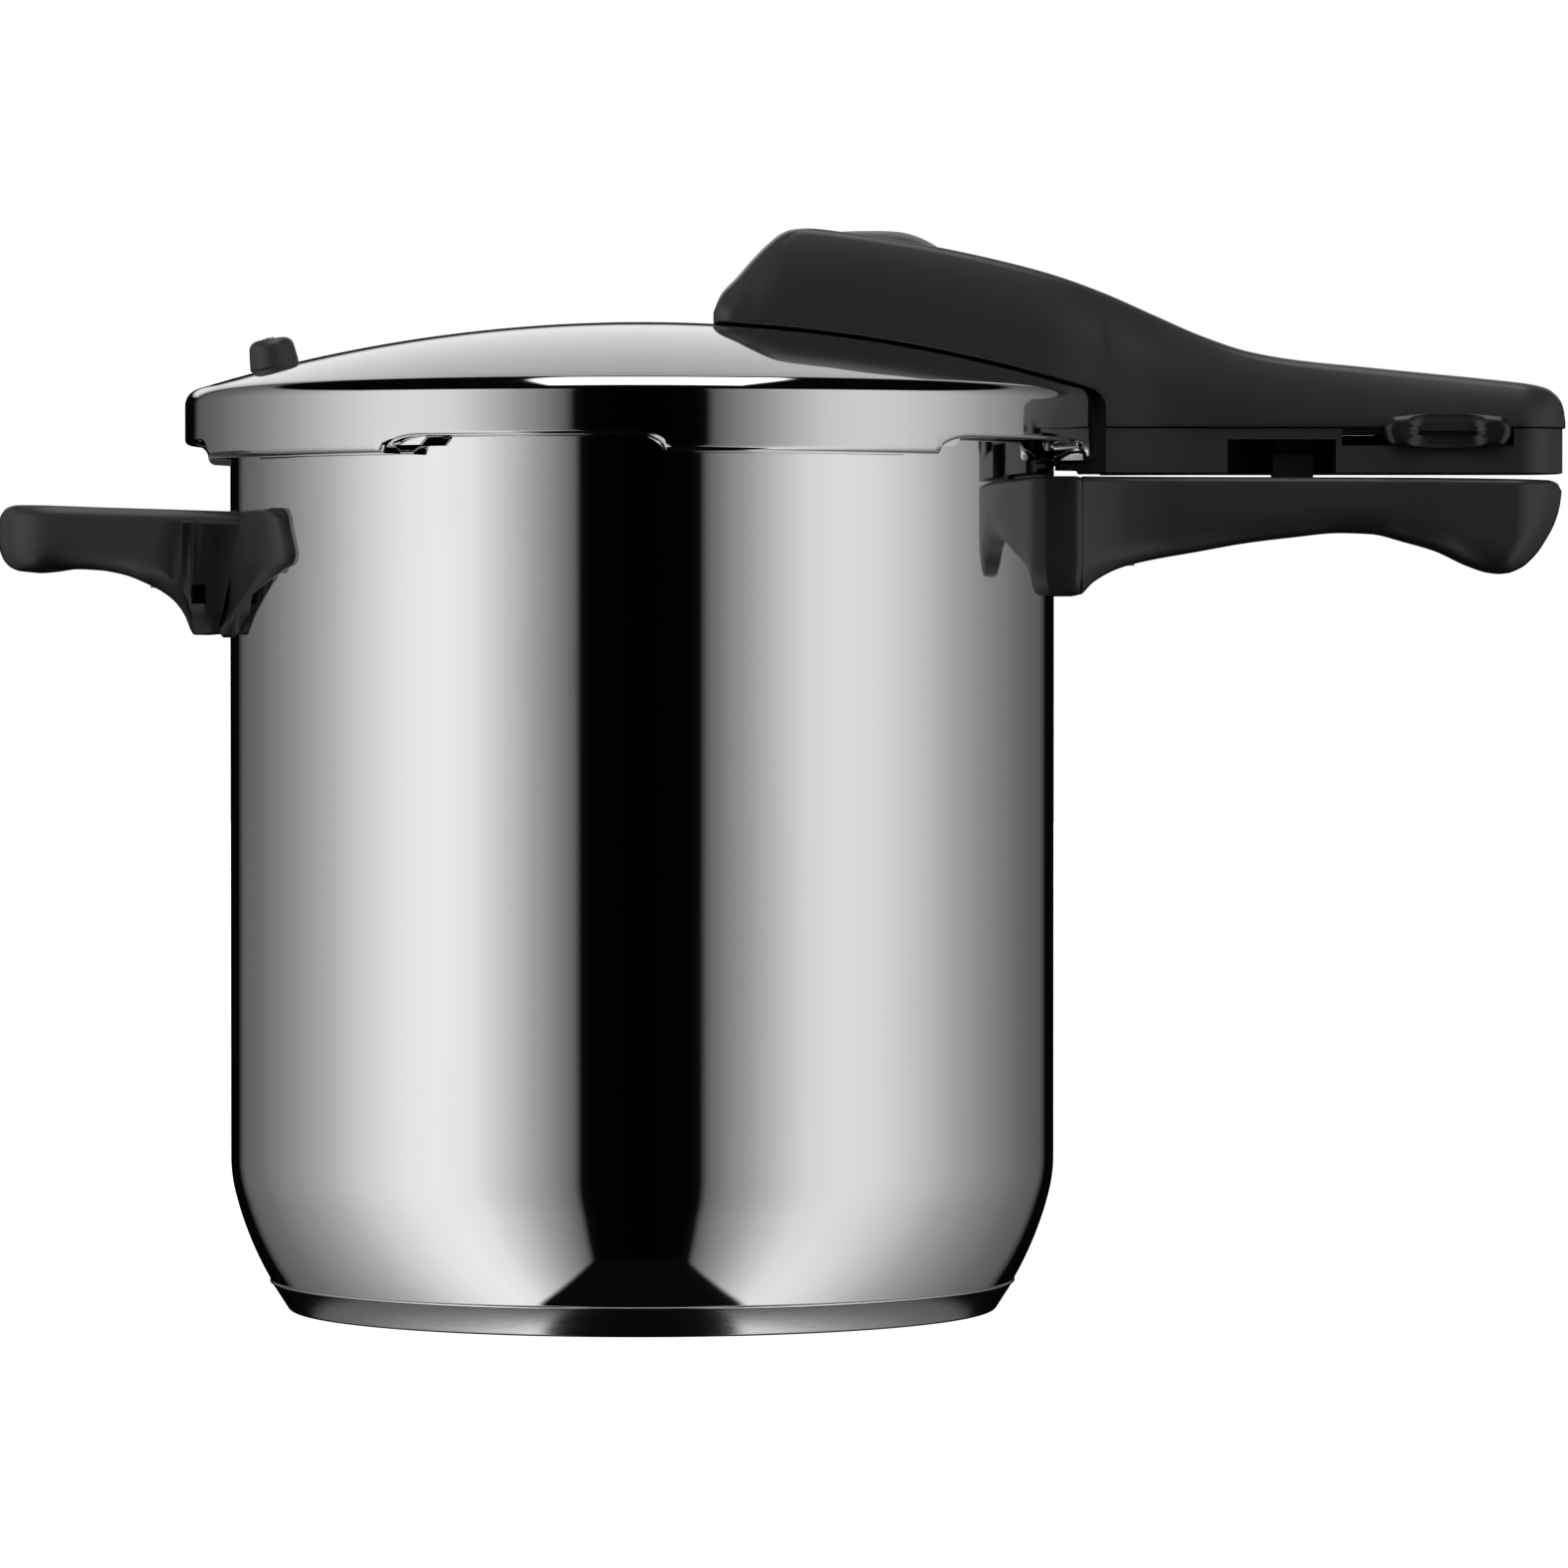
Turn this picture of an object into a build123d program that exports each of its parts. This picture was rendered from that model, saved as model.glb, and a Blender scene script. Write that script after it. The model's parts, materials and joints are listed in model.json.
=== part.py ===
from build123d import *
import math
import os

# A stovetop pressure cooker, in millimetres.
# Origin: the pot's axis at the underside of its base.  +Z up, +X along the two long handles.

# ---------------------------------------------------------------- pot
POT_R = 111.0            # outside radius of the wall
WALL_T = 1.0
KNEE_Z = 41.5            # where the straight wall starts to turn in
KNEE_R = 40.0
KNEE_TURN = 14.0
FOOT_CURVE_R = 91.0
FOOT_TURN = 16.0
FLOOR_T = 1.2
RIM_Z = 236.0            # top of the pot's rim
RIM_BEAD_R = 113.2
RIM_BEAD_H = 3.0
POT_LUG_R = 118.5
POT_LUG_T = 1.4
POT_LUG_LOW_Z = 230.4
POT_LUG_SPAN = 32.0      # degrees of each bayonet lug on the pot
POT_LUG_FIRST = -133.0   # azimuth of the middle of one lug

# ---------------------------------------------------------------- base
BASE_FOOT_R = 94.4
CAP_T = 1.2
CAP_WALL_T = 1.0
CAP_CORNER = 1.2

# ---------------------------------------------------------------- lid
LID_R = 123.1            # outside radius of the rim
LID_T = 1.2
DOME_R = 403.0           # radius of the dome
DOME_TOP_Z = 265.8
SHOULDER_R = 4.5
LID_LUG_Z = 228.2
LID_LUG_IN_R = 114.0
LID_GAP_Z = 232.7        # edge of the rim between two lugs
BAYONETS = 5
LID_GAP_SPAN = 36.0
LID_GAP_FIRST = -104.15  # azimuth of the middle of one gap

# ---------------------------------------------------------------- valves
INDICATOR_X = 66.0
STEAM_X = 38.0
SAFETY_X = -99.0
PIN_R = 4.2              # indicator rod
PIN_CLEAR = 0.08         # round a rod in its guide
PIN_FOOT_Z = 265.4
PIN_TOP_Z = 290.3
SPRING_LOW_Z = 268.0
SPRING_HIGH_Z = 283.2
INDICATOR_SOCKET_R = 6.9
INDICATOR_SEAT_R = 10.0
INDICATOR_SEAT_TOP = 264.8
MEMBRANE_R = 6.0
MEMBRANE_LOW_Z = 262.4
COLLAR_RING_R = 14.4     # domed ring that the indicator rises through
COLLAR_NECK_R = 8.0
COLLAR_LOW_Z = 283.5
COLLAR_SEAT_Z = 284.8
STEAM_SOCKET_R = 3.9
STEAM_STEM_R = 2.0
STEAM_SPRING_Z = (270.4, 277.6)
SAFETY_NECK_R = 3.6
SAFETY_PIN_R = 1.6

# ---------------------------------------------------------------- lid handle
HANDLE_END_X = 248.5
HANDLE_ROOT_X = 124.3
SPLIT_Z = 237.0          # where the cover meets the lower shell
SHELL_LOW_Z = 225.2
HANDLE_WALL = 2.5
NOSE_X = 19.3
HEAD_HALF_W = 25.0       # half width over the lid
GRIP_HALF_W = 17.5       # half width where the hand holds
COVER_GAP = 0.4          # between the cover's lower edge and the dome
HANDLE_STEP = 0.8        # how far the lower shell's sides stand inside the cover's
SCREW_END_X = 239.0
STRAP_SCREW_X = 138.0
STRAP_HALF_W = 8.0
STRAP_T = 2.5
STRAP_END_Z = 237.9      # underside of the strap where it is screwed down
POST_R = 4.6
RECESS_X = (157.0, 186.1)
RECESS_TOP_Z = 234.1
RECESS_BACK_Y = 9.0
ROOF_T = 1.5

# ---------------------------------------------------------------- latch
LATCH_TRAVEL = 11.8
SLOT_X = (187.6, 233.6)
SLOT_LOW_Z = 232.4
BAR_X = (201.0, 221.0)
BAR_Z = (232.8, 235.9)
BUTTON_X = (198.8, 232.8)
BUTTON_Z = (231.7, 240.9)
BUTTON_PROUD = 2.6
SCOOP_R = 30.0           # thumb scoop in the latch button
SCOOP_DEPTH = 1.6
ROD_X = (168.0, 214.0)
ROD_HALF_W = 6.0
ROD_T = 1.6
BOLT_X = (169.9, 180.6)
BOLT_HALF_W = 7.0
BOLT_STEM_X = (171.5, 177.5)
BOLT_STEM_HALF_W = 3.0

# ---------------------------------------------------------------- pot handles
POT_HANDLE_TOP_Z = 224.1
LOCK_LUG_X = 175.3
LOCK_LUG_TOP_Z = 231.0
COLLAR_X = 118.0
COLLAR_HALF_W = 25.0
COLLAR_LOW_EDGE_Z = 192.2
COLLAR_CORNER = 9.0
BRACKET_REACH = 26.0     # how far a welded lug stands out from the wall
BRACKET_HALF_W = 8.0
POT_BRACKET_Z = (205.0, 215.0)
POT_SCREW_X = 129.0
HELPER_TIP_X = -172.7
HELPER_HALF_W = 42.0
HELPER_BRACKET_HALF_W = 12.0
HELPER_BRACKET_Z = (199.0, 208.0)
HELPER_SCREW_X = -129.0
FLANGE_T = 3.0
FLANGE_Z = (181.0, 215.0)
FLANGE_HALF_W = 63.0

SCREW_R = 2.0
SCREW_HEAD_R = 3.8
SCREW_HEAD_H = 2.6
SCREW_HEAD_DROP = 4.6    # from the underside of a welded lug to the screw's head
SLOT_DEPTH = 1.0
FIT = 0.3                # gap left between pieces that move past each other
TALL = 400.0             # longer than the whole object, for cutting tools

knee_drop = KNEE_R * math.sin(math.radians(KNEE_TURN))
foot_centre_z = KNEE_Z - knee_drop + FOOT_CURVE_R * math.sin(math.radians(KNEE_TURN))
BASE_JOINT_Z = foot_centre_z - FOOT_CURVE_R * math.sin(math.radians(KNEE_TURN + FOOT_TURN))
DOME_CENTRE_Z = DOME_TOP_Z - DOME_R


def side_face(*edges):
    """A face in the XZ plane from edges whose coordinates are (x, z)."""
    return Plane.XZ * make_face(Curve() + list(edges))


def spun(*edges):
    """A solid of revolution about the pot's axis."""
    return revolve(side_face(*edges), axis=Axis.Z)


def ring(r_in, r_out, z_low, z_high):
    """A plain ring about the pot's axis."""
    height = z_high - z_low
    return Pos(0, 0, z_low) * extrude(Circle(r_out) - Circle(r_in), height)


def rod(x, radius, z_low, z_high):
    """An upright rod on the centre plane."""
    return Pos(x, 0, z_low) * extrude(Circle(radius), z_high - z_low)


def block(x_low, x_high, y_low, y_high, z_low, z_high):
    """A box from its limits."""
    size = Box(x_high - x_low, y_high - y_low, z_high - z_low)
    return Pos((x_low + x_high) / 2, (y_low + y_high) / 2, (z_low + z_high) / 2) * size


def dome_ball(offset):
    """The ball whose top is the lid's dome, grown by an offset."""
    return Pos(0, 0, DOME_CENTRE_Z) * Sphere(DOME_R + offset)


def dome_z(radius, offset=0.0):
    """Height of the dome, grown by an offset, at a distance from the axis."""
    return DOME_CENTRE_Z + math.sqrt((DOME_R + offset) ** 2 - radius ** 2)


def sector(azimuth, span, z_low, z_high):
    """A wedge about the pot's axis, for cutting lugs and gaps."""
    half = math.radians(span / 2)
    reach = TALL
    wedge = make_face(Polyline(
        (0, 0),
        (reach * math.cos(half), -reach * math.sin(half)),
        (reach * math.cos(half), reach * math.sin(half)),
        close=True,
    ))
    return Rot(0, 0, azimuth) * Pos(0, 0, z_low) * extrude(wedge, z_high - z_low)


def coil_spring(x, radius, wire_r, z_low, z_high, turns):
    """An upright compression spring on the centre plane."""
    height = z_high - z_low - 2 * wire_r
    path = Helix(height / turns, height, radius)
    section = Plane(path @ 0, z_dir=path % 0) * Circle(wire_r)
    return Pos(x, 0, z_low + wire_r) * sweep(section, path)


# ================================================================ pot

def foot_curve(inset, low_z):
    """The wall's turn towards the base: two arcs, from the straight wall down to a height."""
    knee = JernArc((POT_R - inset, KNEE_Z), (0, -1), KNEE_R - inset, -KNEE_TURN)
    drop = (foot_centre_z - low_z) / (FOOT_CURVE_R - inset)
    turn = math.degrees(math.asin(drop)) - KNEE_TURN
    foot = JernArc(knee @ 1, knee % 1, FOOT_CURVE_R - inset, -turn)
    return knee, foot


def make_pot_body():
    """Drawn steel pot: wall, floor, rolled rim and five downturned bayonet lugs."""
    floor_top = BASE_JOINT_Z + FLOOR_T
    knee_out, foot_out = foot_curve(0, BASE_JOINT_Z)
    knee_in, foot_in = foot_curve(WALL_T, floor_top)
    inner_r = POT_R - WALL_T
    wall = spun(
        Line((0, BASE_JOINT_Z), foot_out @ 1),
        foot_out,
        knee_out,
        Line(knee_out @ 0, (POT_R, RIM_Z - RIM_BEAD_H)),
        Line((POT_R, RIM_Z - RIM_BEAD_H), (RIM_BEAD_R, RIM_Z - RIM_BEAD_H)),
        Line((RIM_BEAD_R, RIM_Z - RIM_BEAD_H), (RIM_BEAD_R, RIM_Z)),
        Line((RIM_BEAD_R, RIM_Z), (inner_r, RIM_Z)),
        Line((inner_r, RIM_Z), knee_in @ 0),
        knee_in,
        foot_in,
        Line(foot_in @ 1, (0, floor_top)),
        Line((0, floor_top), (0, BASE_JOINT_Z)),
    )
    flange = ring(POT_R, POT_LUG_R, RIM_Z - POT_LUG_T, RIM_Z)
    skirt = ring(POT_LUG_R - POT_LUG_T, POT_LUG_R, POT_LUG_LOW_Z, RIM_Z)
    lug_ring = flange + skirt
    body = wall
    for i in range(BAYONETS):
        azimuth = POT_LUG_FIRST + 360 / BAYONETS * i
        body = body + (lug_ring & sector(azimuth, POT_LUG_SPAN, 0, TALL))
    return body


def joint_radius():
    """Radius of the joint line between the pot's wall and its base cap."""
    return (foot_curve(0, BASE_JOINT_Z)[1] @ 1).X


def make_base_core():
    """Aluminium heat-spreading disc sealed in the base."""
    rim_r = joint_radius() - CAP_WALL_T
    return spun(Polyline(
        (0, CAP_T), (BASE_FOOT_R, CAP_T), (rim_r, BASE_JOINT_Z), (0, BASE_JOINT_Z), close=True,
    ))


def make_base_cap():
    """Steel cap of the base: flat foot, rounded corner and brushed cone."""
    rim_r = joint_radius()
    corner = ThreePointArc(
        (BASE_FOOT_R, 0),
        (BASE_FOOT_R + 0.8 * CAP_CORNER, 0.3 * CAP_CORNER),
        (BASE_FOOT_R + CAP_CORNER, CAP_CORNER),
    )
    return spun(
        Line((0, 0), (BASE_FOOT_R, 0)),
        corner,
        Line(corner @ 1, (rim_r, BASE_JOINT_Z)),
        Line((rim_r, BASE_JOINT_Z), (rim_r - CAP_WALL_T, BASE_JOINT_Z)),
        Line((rim_r - CAP_WALL_T, BASE_JOINT_Z), (BASE_FOOT_R, CAP_T)),
        Line((BASE_FOOT_R, CAP_T), (0, CAP_T)),
        Line((0, CAP_T), (0, 0)),
    )


# ================================================================ pot handle

def make_pot_handle_bracket():
    """Steel lug welded to the wall, inside the long pot handle."""
    low, high = POT_BRACKET_Z
    lug = block(POT_R - 5, POT_R + BRACKET_REACH, -BRACKET_HALF_W, BRACKET_HALF_W, low, high)
    return lug - Cylinder(POT_R, 2 * TALL) - rod(POT_SCREW_X, SCREW_R, low, high)


def make_pot_handle_collar():
    """Heat guard between the wall and the grip, curved to the wall."""
    outline = side_face(Polyline(
        (98, COLLAR_LOW_EDGE_Z), (COLLAR_X - 1, COLLAR_LOW_EDGE_Z), (COLLAR_X, COLLAR_LOW_EDGE_Z + 1),
        (COLLAR_X, POT_HANDLE_TOP_Z), (98, POT_HANDLE_TOP_Z), close=True,
    ))
    guard = extrude(outline, COLLAR_HALF_W, both=True)
    lower = [e for e in guard.edges().filter_by(Axis.X) if e.center().Z < 200]
    guard = fillet(lower, COLLAR_CORNER)
    low, high = POT_BRACKET_Z
    slot = block(90, COLLAR_X + 1, -BRACKET_HALF_W, BRACKET_HALF_W, low, high)
    return guard - Cylinder(POT_R, 2 * TALL) - slot


def grip_plan():
    """The long pot handle from above: a flared root, a waist and a round end."""
    flank = Spline(
        (COLLAR_X, COLLAR_HALF_W - 1.5), (130, 19.5), (160, 17.0), (234, 17.5),
        tangents=[(0.75, -0.65), (1, 0.05)],
    )
    end = ThreePointArc(flank @ 1, (244.2, 11.5), (247.7, 0))
    half = Curve() + [flank, end]
    return make_face(half + mirror(half, Plane.XZ) + [
        Line((COLLAR_X, -COLLAR_HALF_W + 1.5), (COLLAR_X, COLLAR_HALF_W - 1.5)),
    ])


def make_pot_handle_grip():
    """Long pot handle: a solid moulding with the upright lug that the lid's latch faces."""
    root_low = (COLLAR_X, 192.5)
    belly = Spline(
        root_low, (121.4, 196.0), (137.2, 201.9), (163, 206.6), (190, 209.4), (206, 206.8),
        (218, 202.8), (231.8, 198.1), tangents=[(0.5, 0.9), (1, 0)],
    )
    heel = Spline(
        belly @ 1, (238.6, 201.2), (244.7, 209.1), (247.6, 219.8), tangents=[(1, 0), (0.05, 1)],
    )
    toe = ThreePointArc(heel @ 1, (247.0, 222.4), (244.5, 223.3))
    outline = side_face(
        belly, heel, toe,
        Line(toe @ 1, (COLLAR_X, POT_HANDLE_TOP_Z)),
        Line((COLLAR_X, POT_HANDLE_TOP_Z), root_low),
    )
    grip = extrude(outline, 2 * COLLAR_HALF_W, both=True) & extrude(grip_plan(), TALL)
    lug = block(LOCK_LUG_X - 5.4, LOCK_LUG_X + 5.4, -5, 5, POT_HANDLE_TOP_Z - 3, LOCK_LUG_TOP_Z)
    low, high = POT_BRACKET_Z
    pocket = block(110, POT_R + BRACKET_REACH, -BRACKET_HALF_W, BRACKET_HALF_W, low, high)
    head_hole = rod(POT_SCREW_X, SCREW_HEAD_R, 190, low - 2)
    return grip + lug - pocket - head_hole - rod(POT_SCREW_X, SCREW_R, 190, low)


def cap_screw(x, head_z, tip_z):
    """A screw driven upwards: round head with a slot, and a shank."""
    screw = rod(x, SCREW_HEAD_R, head_z, head_z + SCREW_HEAD_H) + rod(x, SCREW_R, head_z, tip_z)
    return screw - block(x - SCREW_HEAD_R, x + SCREW_HEAD_R, -0.5, 0.5, head_z, head_z + SLOT_DEPTH)


def make_pot_handle_screw():
    """Screw from below through the grip into the welded lug."""
    low, high = POT_BRACKET_Z
    return cap_screw(POT_SCREW_X, low - SCREW_HEAD_DROP, high - 1)


# ================================================================ helper handle

def make_helper_bracket():
    """Steel lug welded to the wall, inside the helper handle."""
    low, high = HELPER_BRACKET_Z
    half_w = HELPER_BRACKET_HALF_W
    lug = block(-POT_R - BRACKET_REACH, -POT_R + 5, -half_w, half_w, low, high)
    return lug - Cylinder(POT_R, 2 * TALL) - rod(HELPER_SCREW_X, SCREW_R, low, high)


def make_helper_flange():
    """Heat guard that wraps round the wall and runs down to a point under the grip."""
    bottom, top = FLANGE_Z
    shield = ring(POT_R, POT_R + FLANGE_T, bottom, top)
    half_w = FLANGE_HALF_W
    front = Plane.YZ * make_face(Polyline(
        (-half_w, top), (half_w, top), (half_w + 2, 201), (15, bottom + 1), (-15, bottom + 1),
        (-half_w - 2, 201), close=True,
    ))
    shield = shield & extrude(front, -TALL)
    low, high = HELPER_BRACKET_Z
    return shield - block(-130, -100, -HELPER_BRACKET_HALF_W, HELPER_BRACKET_HALF_W, low, high)


def make_helper_grip():
    """Short helper handle: a thick tongue, hollow underneath for the fingers."""
    nose = Spline(
        (-112.5, 181.6), (-116.5, 181.4), (-125.1, 191.4), (-138, 197.8), (-155.2, 199.4),
        (-165.5, 198.6), (HELPER_TIP_X, 208.6), (-168.1, 216.2),
        tangents=[(-1, 0), (1, 0.05)],
    )
    outline = side_face(
        nose,
        Line((-168.1, 216.2), (-104, 214.4)),
        Line((-104, 214.4), (-104, 190)),
        Line((-104, 190), (-112.5, 181.6)),
    )
    half = Curve() + [
        Spline((-95, HELPER_HALF_W + 4), (-120, HELPER_HALF_W - 2), (-155, 34.5),
               tangents=[(-0.9, -0.5), (-1, -0.1)]),
        ThreePointArc((-155, 34.5), (-167.6, 26.5), (HELPER_TIP_X, 0)),
    ]
    plan = make_face(half + mirror(half, Plane.XZ) + [
        Line((-95, -HELPER_HALF_W - 4), (-95, HELPER_HALF_W + 4)),
    ])
    grip = extrude(outline, 60, both=True) & extrude(plan, TALL)
    grip = grip - Cylinder(POT_R + FLANGE_T, 2 * TALL)
    hollow_side = side_face(
        Line((-158, 190), (-158, 207.5)),
        ThreePointArc((-158, 207.5), (-156.6, 210.4), (-153.5, 211.3)),
        Line((-153.5, 211.3), (-144, 211.3)),
        Line((-144, 211.3), (-141, 180)),
        Line((-141, 180), (-158, 190)),
    )
    hollow = extrude(hollow_side, 24, both=True)
    low, high = HELPER_BRACKET_Z
    half_w = HELPER_BRACKET_HALF_W
    pocket = block(-POT_R - BRACKET_REACH, -100, -half_w, half_w, low, high)
    head_hole = rod(HELPER_SCREW_X, SCREW_HEAD_R, 170, low - 2)
    shank_hole = rod(HELPER_SCREW_X, SCREW_R, 170, low)
    window = block(-119.5, -116, -60, -30, 190, 195)
    return grip - hollow - pocket - head_hole - shank_hole - window - mirror(window, Plane.XZ)


def make_helper_screw():
    """Screw from below through the helper grip into its welded lug."""
    low, high = HELPER_BRACKET_Z
    return cap_screw(HELPER_SCREW_X, low - SCREW_HEAD_DROP, high - 1)


# ================================================================ lid

def make_sealing_ring():
    """Silicone ring in the lid's rim: a C section, open towards the axis."""
    low = RIM_Z + FIT
    return spun(
        Polyline(
            (112.5, low), (121.4, low), (121.4, 243.3), (118.0, 245.8), (112.5, 247.4),
            (112.5, 245.2), (117.6, 243.9), (119.0, 242.6), (119.0, low + 2.2),
            (112.5, low + 2.2), close=True,
        ),
    )


def make_lid_shell():
    """Pressed steel lid: dome, shoulder, rim and five lugs turned in under the pot's lugs."""
    inner_r = LID_R - LID_T
    shoulder_r = LID_R - SHOULDER_R
    shoulder_z = DOME_CENTRE_Z + math.sqrt((DOME_R - SHOULDER_R) ** 2 - shoulder_r ** 2)
    lean = math.asin(shoulder_r / (DOME_R - SHOULDER_R))

    def dome_edge(radius):
        """Where a dome of this radius meets the shoulder."""
        return (radius * math.sin(lean), DOME_CENTRE_Z + radius * math.cos(lean))

    def dome_point(radius, part):
        """A point part of the way down a dome of this radius."""
        return (radius * math.sin(part * lean), DOME_CENTRE_Z + radius * math.cos(part * lean))

    def shoulder_point(radius):
        """The middle of a shoulder arc of this radius."""
        turn = (math.pi / 2 + lean) / 2
        return (shoulder_r + radius * math.sin(turn), shoulder_z + radius * math.cos(turn))

    inner_dome_r = DOME_R - LID_T
    inner_shoulder = SHOULDER_R - LID_T
    curl = LID_T + 0.4
    shell = spun(
        ThreePointArc((0, DOME_TOP_Z), dome_point(DOME_R, 0.5), dome_edge(DOME_R)),
        ThreePointArc(dome_edge(DOME_R), shoulder_point(SHOULDER_R), (LID_R, shoulder_z)),
        Line((LID_R, shoulder_z), (LID_R, LID_LUG_Z + curl)),
        RadiusArc((LID_R, LID_LUG_Z + curl), (LID_R - curl, LID_LUG_Z), curl),
        Line((LID_R - curl, LID_LUG_Z), (LID_LUG_IN_R, LID_LUG_Z)),
        Line((LID_LUG_IN_R, LID_LUG_Z), (LID_LUG_IN_R, LID_LUG_Z + LID_T)),
        Line((LID_LUG_IN_R, LID_LUG_Z + LID_T), (inner_r, LID_LUG_Z + LID_T)),
        Line((inner_r, LID_LUG_Z + LID_T), (inner_r, shoulder_z)),
        ThreePointArc((inner_r, shoulder_z), shoulder_point(inner_shoulder), dome_edge(inner_dome_r)),
        ThreePointArc(
            dome_edge(inner_dome_r), dome_point(inner_dome_r, 0.5), (0, DOME_TOP_Z - LID_T),
        ),
        Line((0, DOME_TOP_Z - LID_T), (0, DOME_TOP_Z)),
    )
    for i in range(BAYONETS):
        azimuth = LID_GAP_FIRST + 360 / BAYONETS * i
        shell = shell - sector(azimuth, LID_GAP_SPAN, 0, LID_GAP_Z)
    holes = rod(INDICATOR_X, INDICATOR_SOCKET_R, 200, 300) + rod(STEAM_X, STEAM_SOCKET_R, 200, 300)
    return shell - holes - safety_axis() * Cylinder(SAFETY_NECK_R, 40)


def safety_axis():
    """Place on the dome where the safety valve stands, square to the surface."""
    lean = math.degrees(math.asin(SAFETY_X / DOME_R))
    return Pos(SAFETY_X, 0, dome_z(SAFETY_X)) * Rot(0, lean, 0)


def make_safety_valve():
    """Rubber relief plug: round knob above the lid, neck, and a flange below it."""
    knob = spun(
        Line((SAFETY_PIN_R, -4.6), (6.6, -4.6)),
        Line((6.6, -4.6), (6.6, -2.2)),
        Line((6.6, -2.2), (SAFETY_NECK_R, -2.2)),
        Line((SAFETY_NECK_R, -2.2), (SAFETY_NECK_R, 0.6)),
        Line((SAFETY_NECK_R, 0.6), (6.9, 0.6)),
        ThreePointArc((6.9, 0.6), (7.2, 1.2), (6.7, 1.8)),
        Line((6.7, 1.8), (6.0, 6.0)),
        ThreePointArc((6.0, 6.0), (5.0, 8.2), (2.8, 8.9)),
        Line((2.8, 8.9), (SAFETY_PIN_R, 8.9)),
        Line((SAFETY_PIN_R, 8.9), (SAFETY_PIN_R, -4.6)),
    )
    return safety_axis() * knob


def make_safety_valve_pin():
    """Steel pin in the middle of the relief plug."""
    return safety_axis() * Pos(0, 0, 2.0) * Cylinder(SAFETY_PIN_R, 13.2)


def dome_washer(x, radius, top_z):
    """A round boss that stands on the dome."""
    return rod(x, radius, 230, top_z) - dome_ball(0)


def make_indicator_seat():
    """Threaded socket through the lid that carries the pressure indicator."""
    socket = dome_washer(INDICATOR_X, INDICATOR_SEAT_R, INDICATOR_SEAT_TOP)
    socket = socket + rod(INDICATOR_X, INDICATOR_SOCKET_R, 251.5, INDICATOR_SEAT_TOP)
    chamber = rod(INDICATOR_X, MEMBRANE_R, MEMBRANE_LOW_Z, INDICATOR_SEAT_TOP)
    return socket - rod(INDICATOR_X, 4.4, 251, 263) - chamber


def make_indicator_nut():
    """Hexagonal nut under the lid that clamps the indicator's socket."""
    hexagon = RegularPolygon(11.5, 6) - Circle(INDICATOR_SOCKET_R)
    flats = Pos(INDICATOR_X, 0, 252.6) * extrude(hexagon, 20)
    return flats & dome_ball(-LID_T)


def make_indicator_membrane():
    """Rolling silicone cap in the socket, which the pressure pushes up."""
    disc = rod(INDICATOR_X, MEMBRANE_R, MEMBRANE_LOW_Z, MEMBRANE_LOW_Z + 1.2)
    return disc + rod(INDICATOR_X, 3.6, 260.5, MEMBRANE_LOW_Z + 0.2)


def make_indicator_pin():
    """Pressure indicator: foot, spring seat and the rod that rises through the handle."""
    foot = rod(INDICATOR_X, 5.0, PIN_FOOT_Z, SPRING_LOW_Z - 1.6)
    seat = rod(INDICATOR_X, 7.2, SPRING_LOW_Z - 1.6, SPRING_LOW_Z)
    shaft = rod(INDICATOR_X, PIN_R, SPRING_LOW_Z, PIN_TOP_Z)
    return fillet((foot + seat + shaft).edges().sort_by(Axis.Z)[-1], 0.8)


def make_indicator_spring():
    """Compression spring round the indicator rod."""
    return coil_spring(INDICATOR_X, 5.5, 0.55, SPRING_LOW_Z, SPRING_HIGH_Z, 5)


def make_indicator_collar():
    """Low domed ring in the handle's top that the indicator rises through."""
    cap_r = 60.0
    dome = Pos(INDICATOR_X, 0, PIN_TOP_Z - 0.2 - cap_r) * Sphere(cap_r)
    ring_body = rod(INDICATOR_X, COLLAR_RING_R, COLLAR_SEAT_Z, 300) & dome
    neck = rod(INDICATOR_X, COLLAR_NECK_R, COLLAR_LOW_Z, 286)
    return ring_body + neck - rod(INDICATOR_X, PIN_R + PIN_CLEAR, 270, 300)


def make_steam_seat():
    """Socket through the lid that the steam valve closes."""
    socket = dome_washer(STEAM_X, 6.2, 268.0) + rod(STEAM_X, STEAM_SOCKET_R, 256, 266)
    return socket - rod(STEAM_X, 1.8, 250, 270)


def make_steam_nut():
    """Nut under the lid that clamps the steam valve's socket."""
    flats = Pos(STEAM_X, 0, 257.5) * extrude(RegularPolygon(7.5, 6) - Circle(STEAM_SOCKET_R), 20)
    return flats & dome_ball(-LID_T)


def make_steam_plunger():
    """Valve stem that lifts to let steam out under the nose."""
    return rod(STEAM_X, 4.6, 268.3, 270.3) + rod(STEAM_X, STEAM_STEM_R, 270.3, 278.0)


def make_steam_spring():
    """Light spring that holds the steam valve shut."""
    return coil_spring(STEAM_X, 3.2, 0.45, *STEAM_SPRING_Z, 4)


def make_steam_cap():
    """Guide bush for the steam valve's stem, moulded to stand under the cover."""
    return rod(STEAM_X, 5.2, 277.9, 283.2) - rod(STEAM_X, STEAM_STEM_R + PIN_CLEAR, 277, 281)


# ================================================================ lid handle

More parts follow.
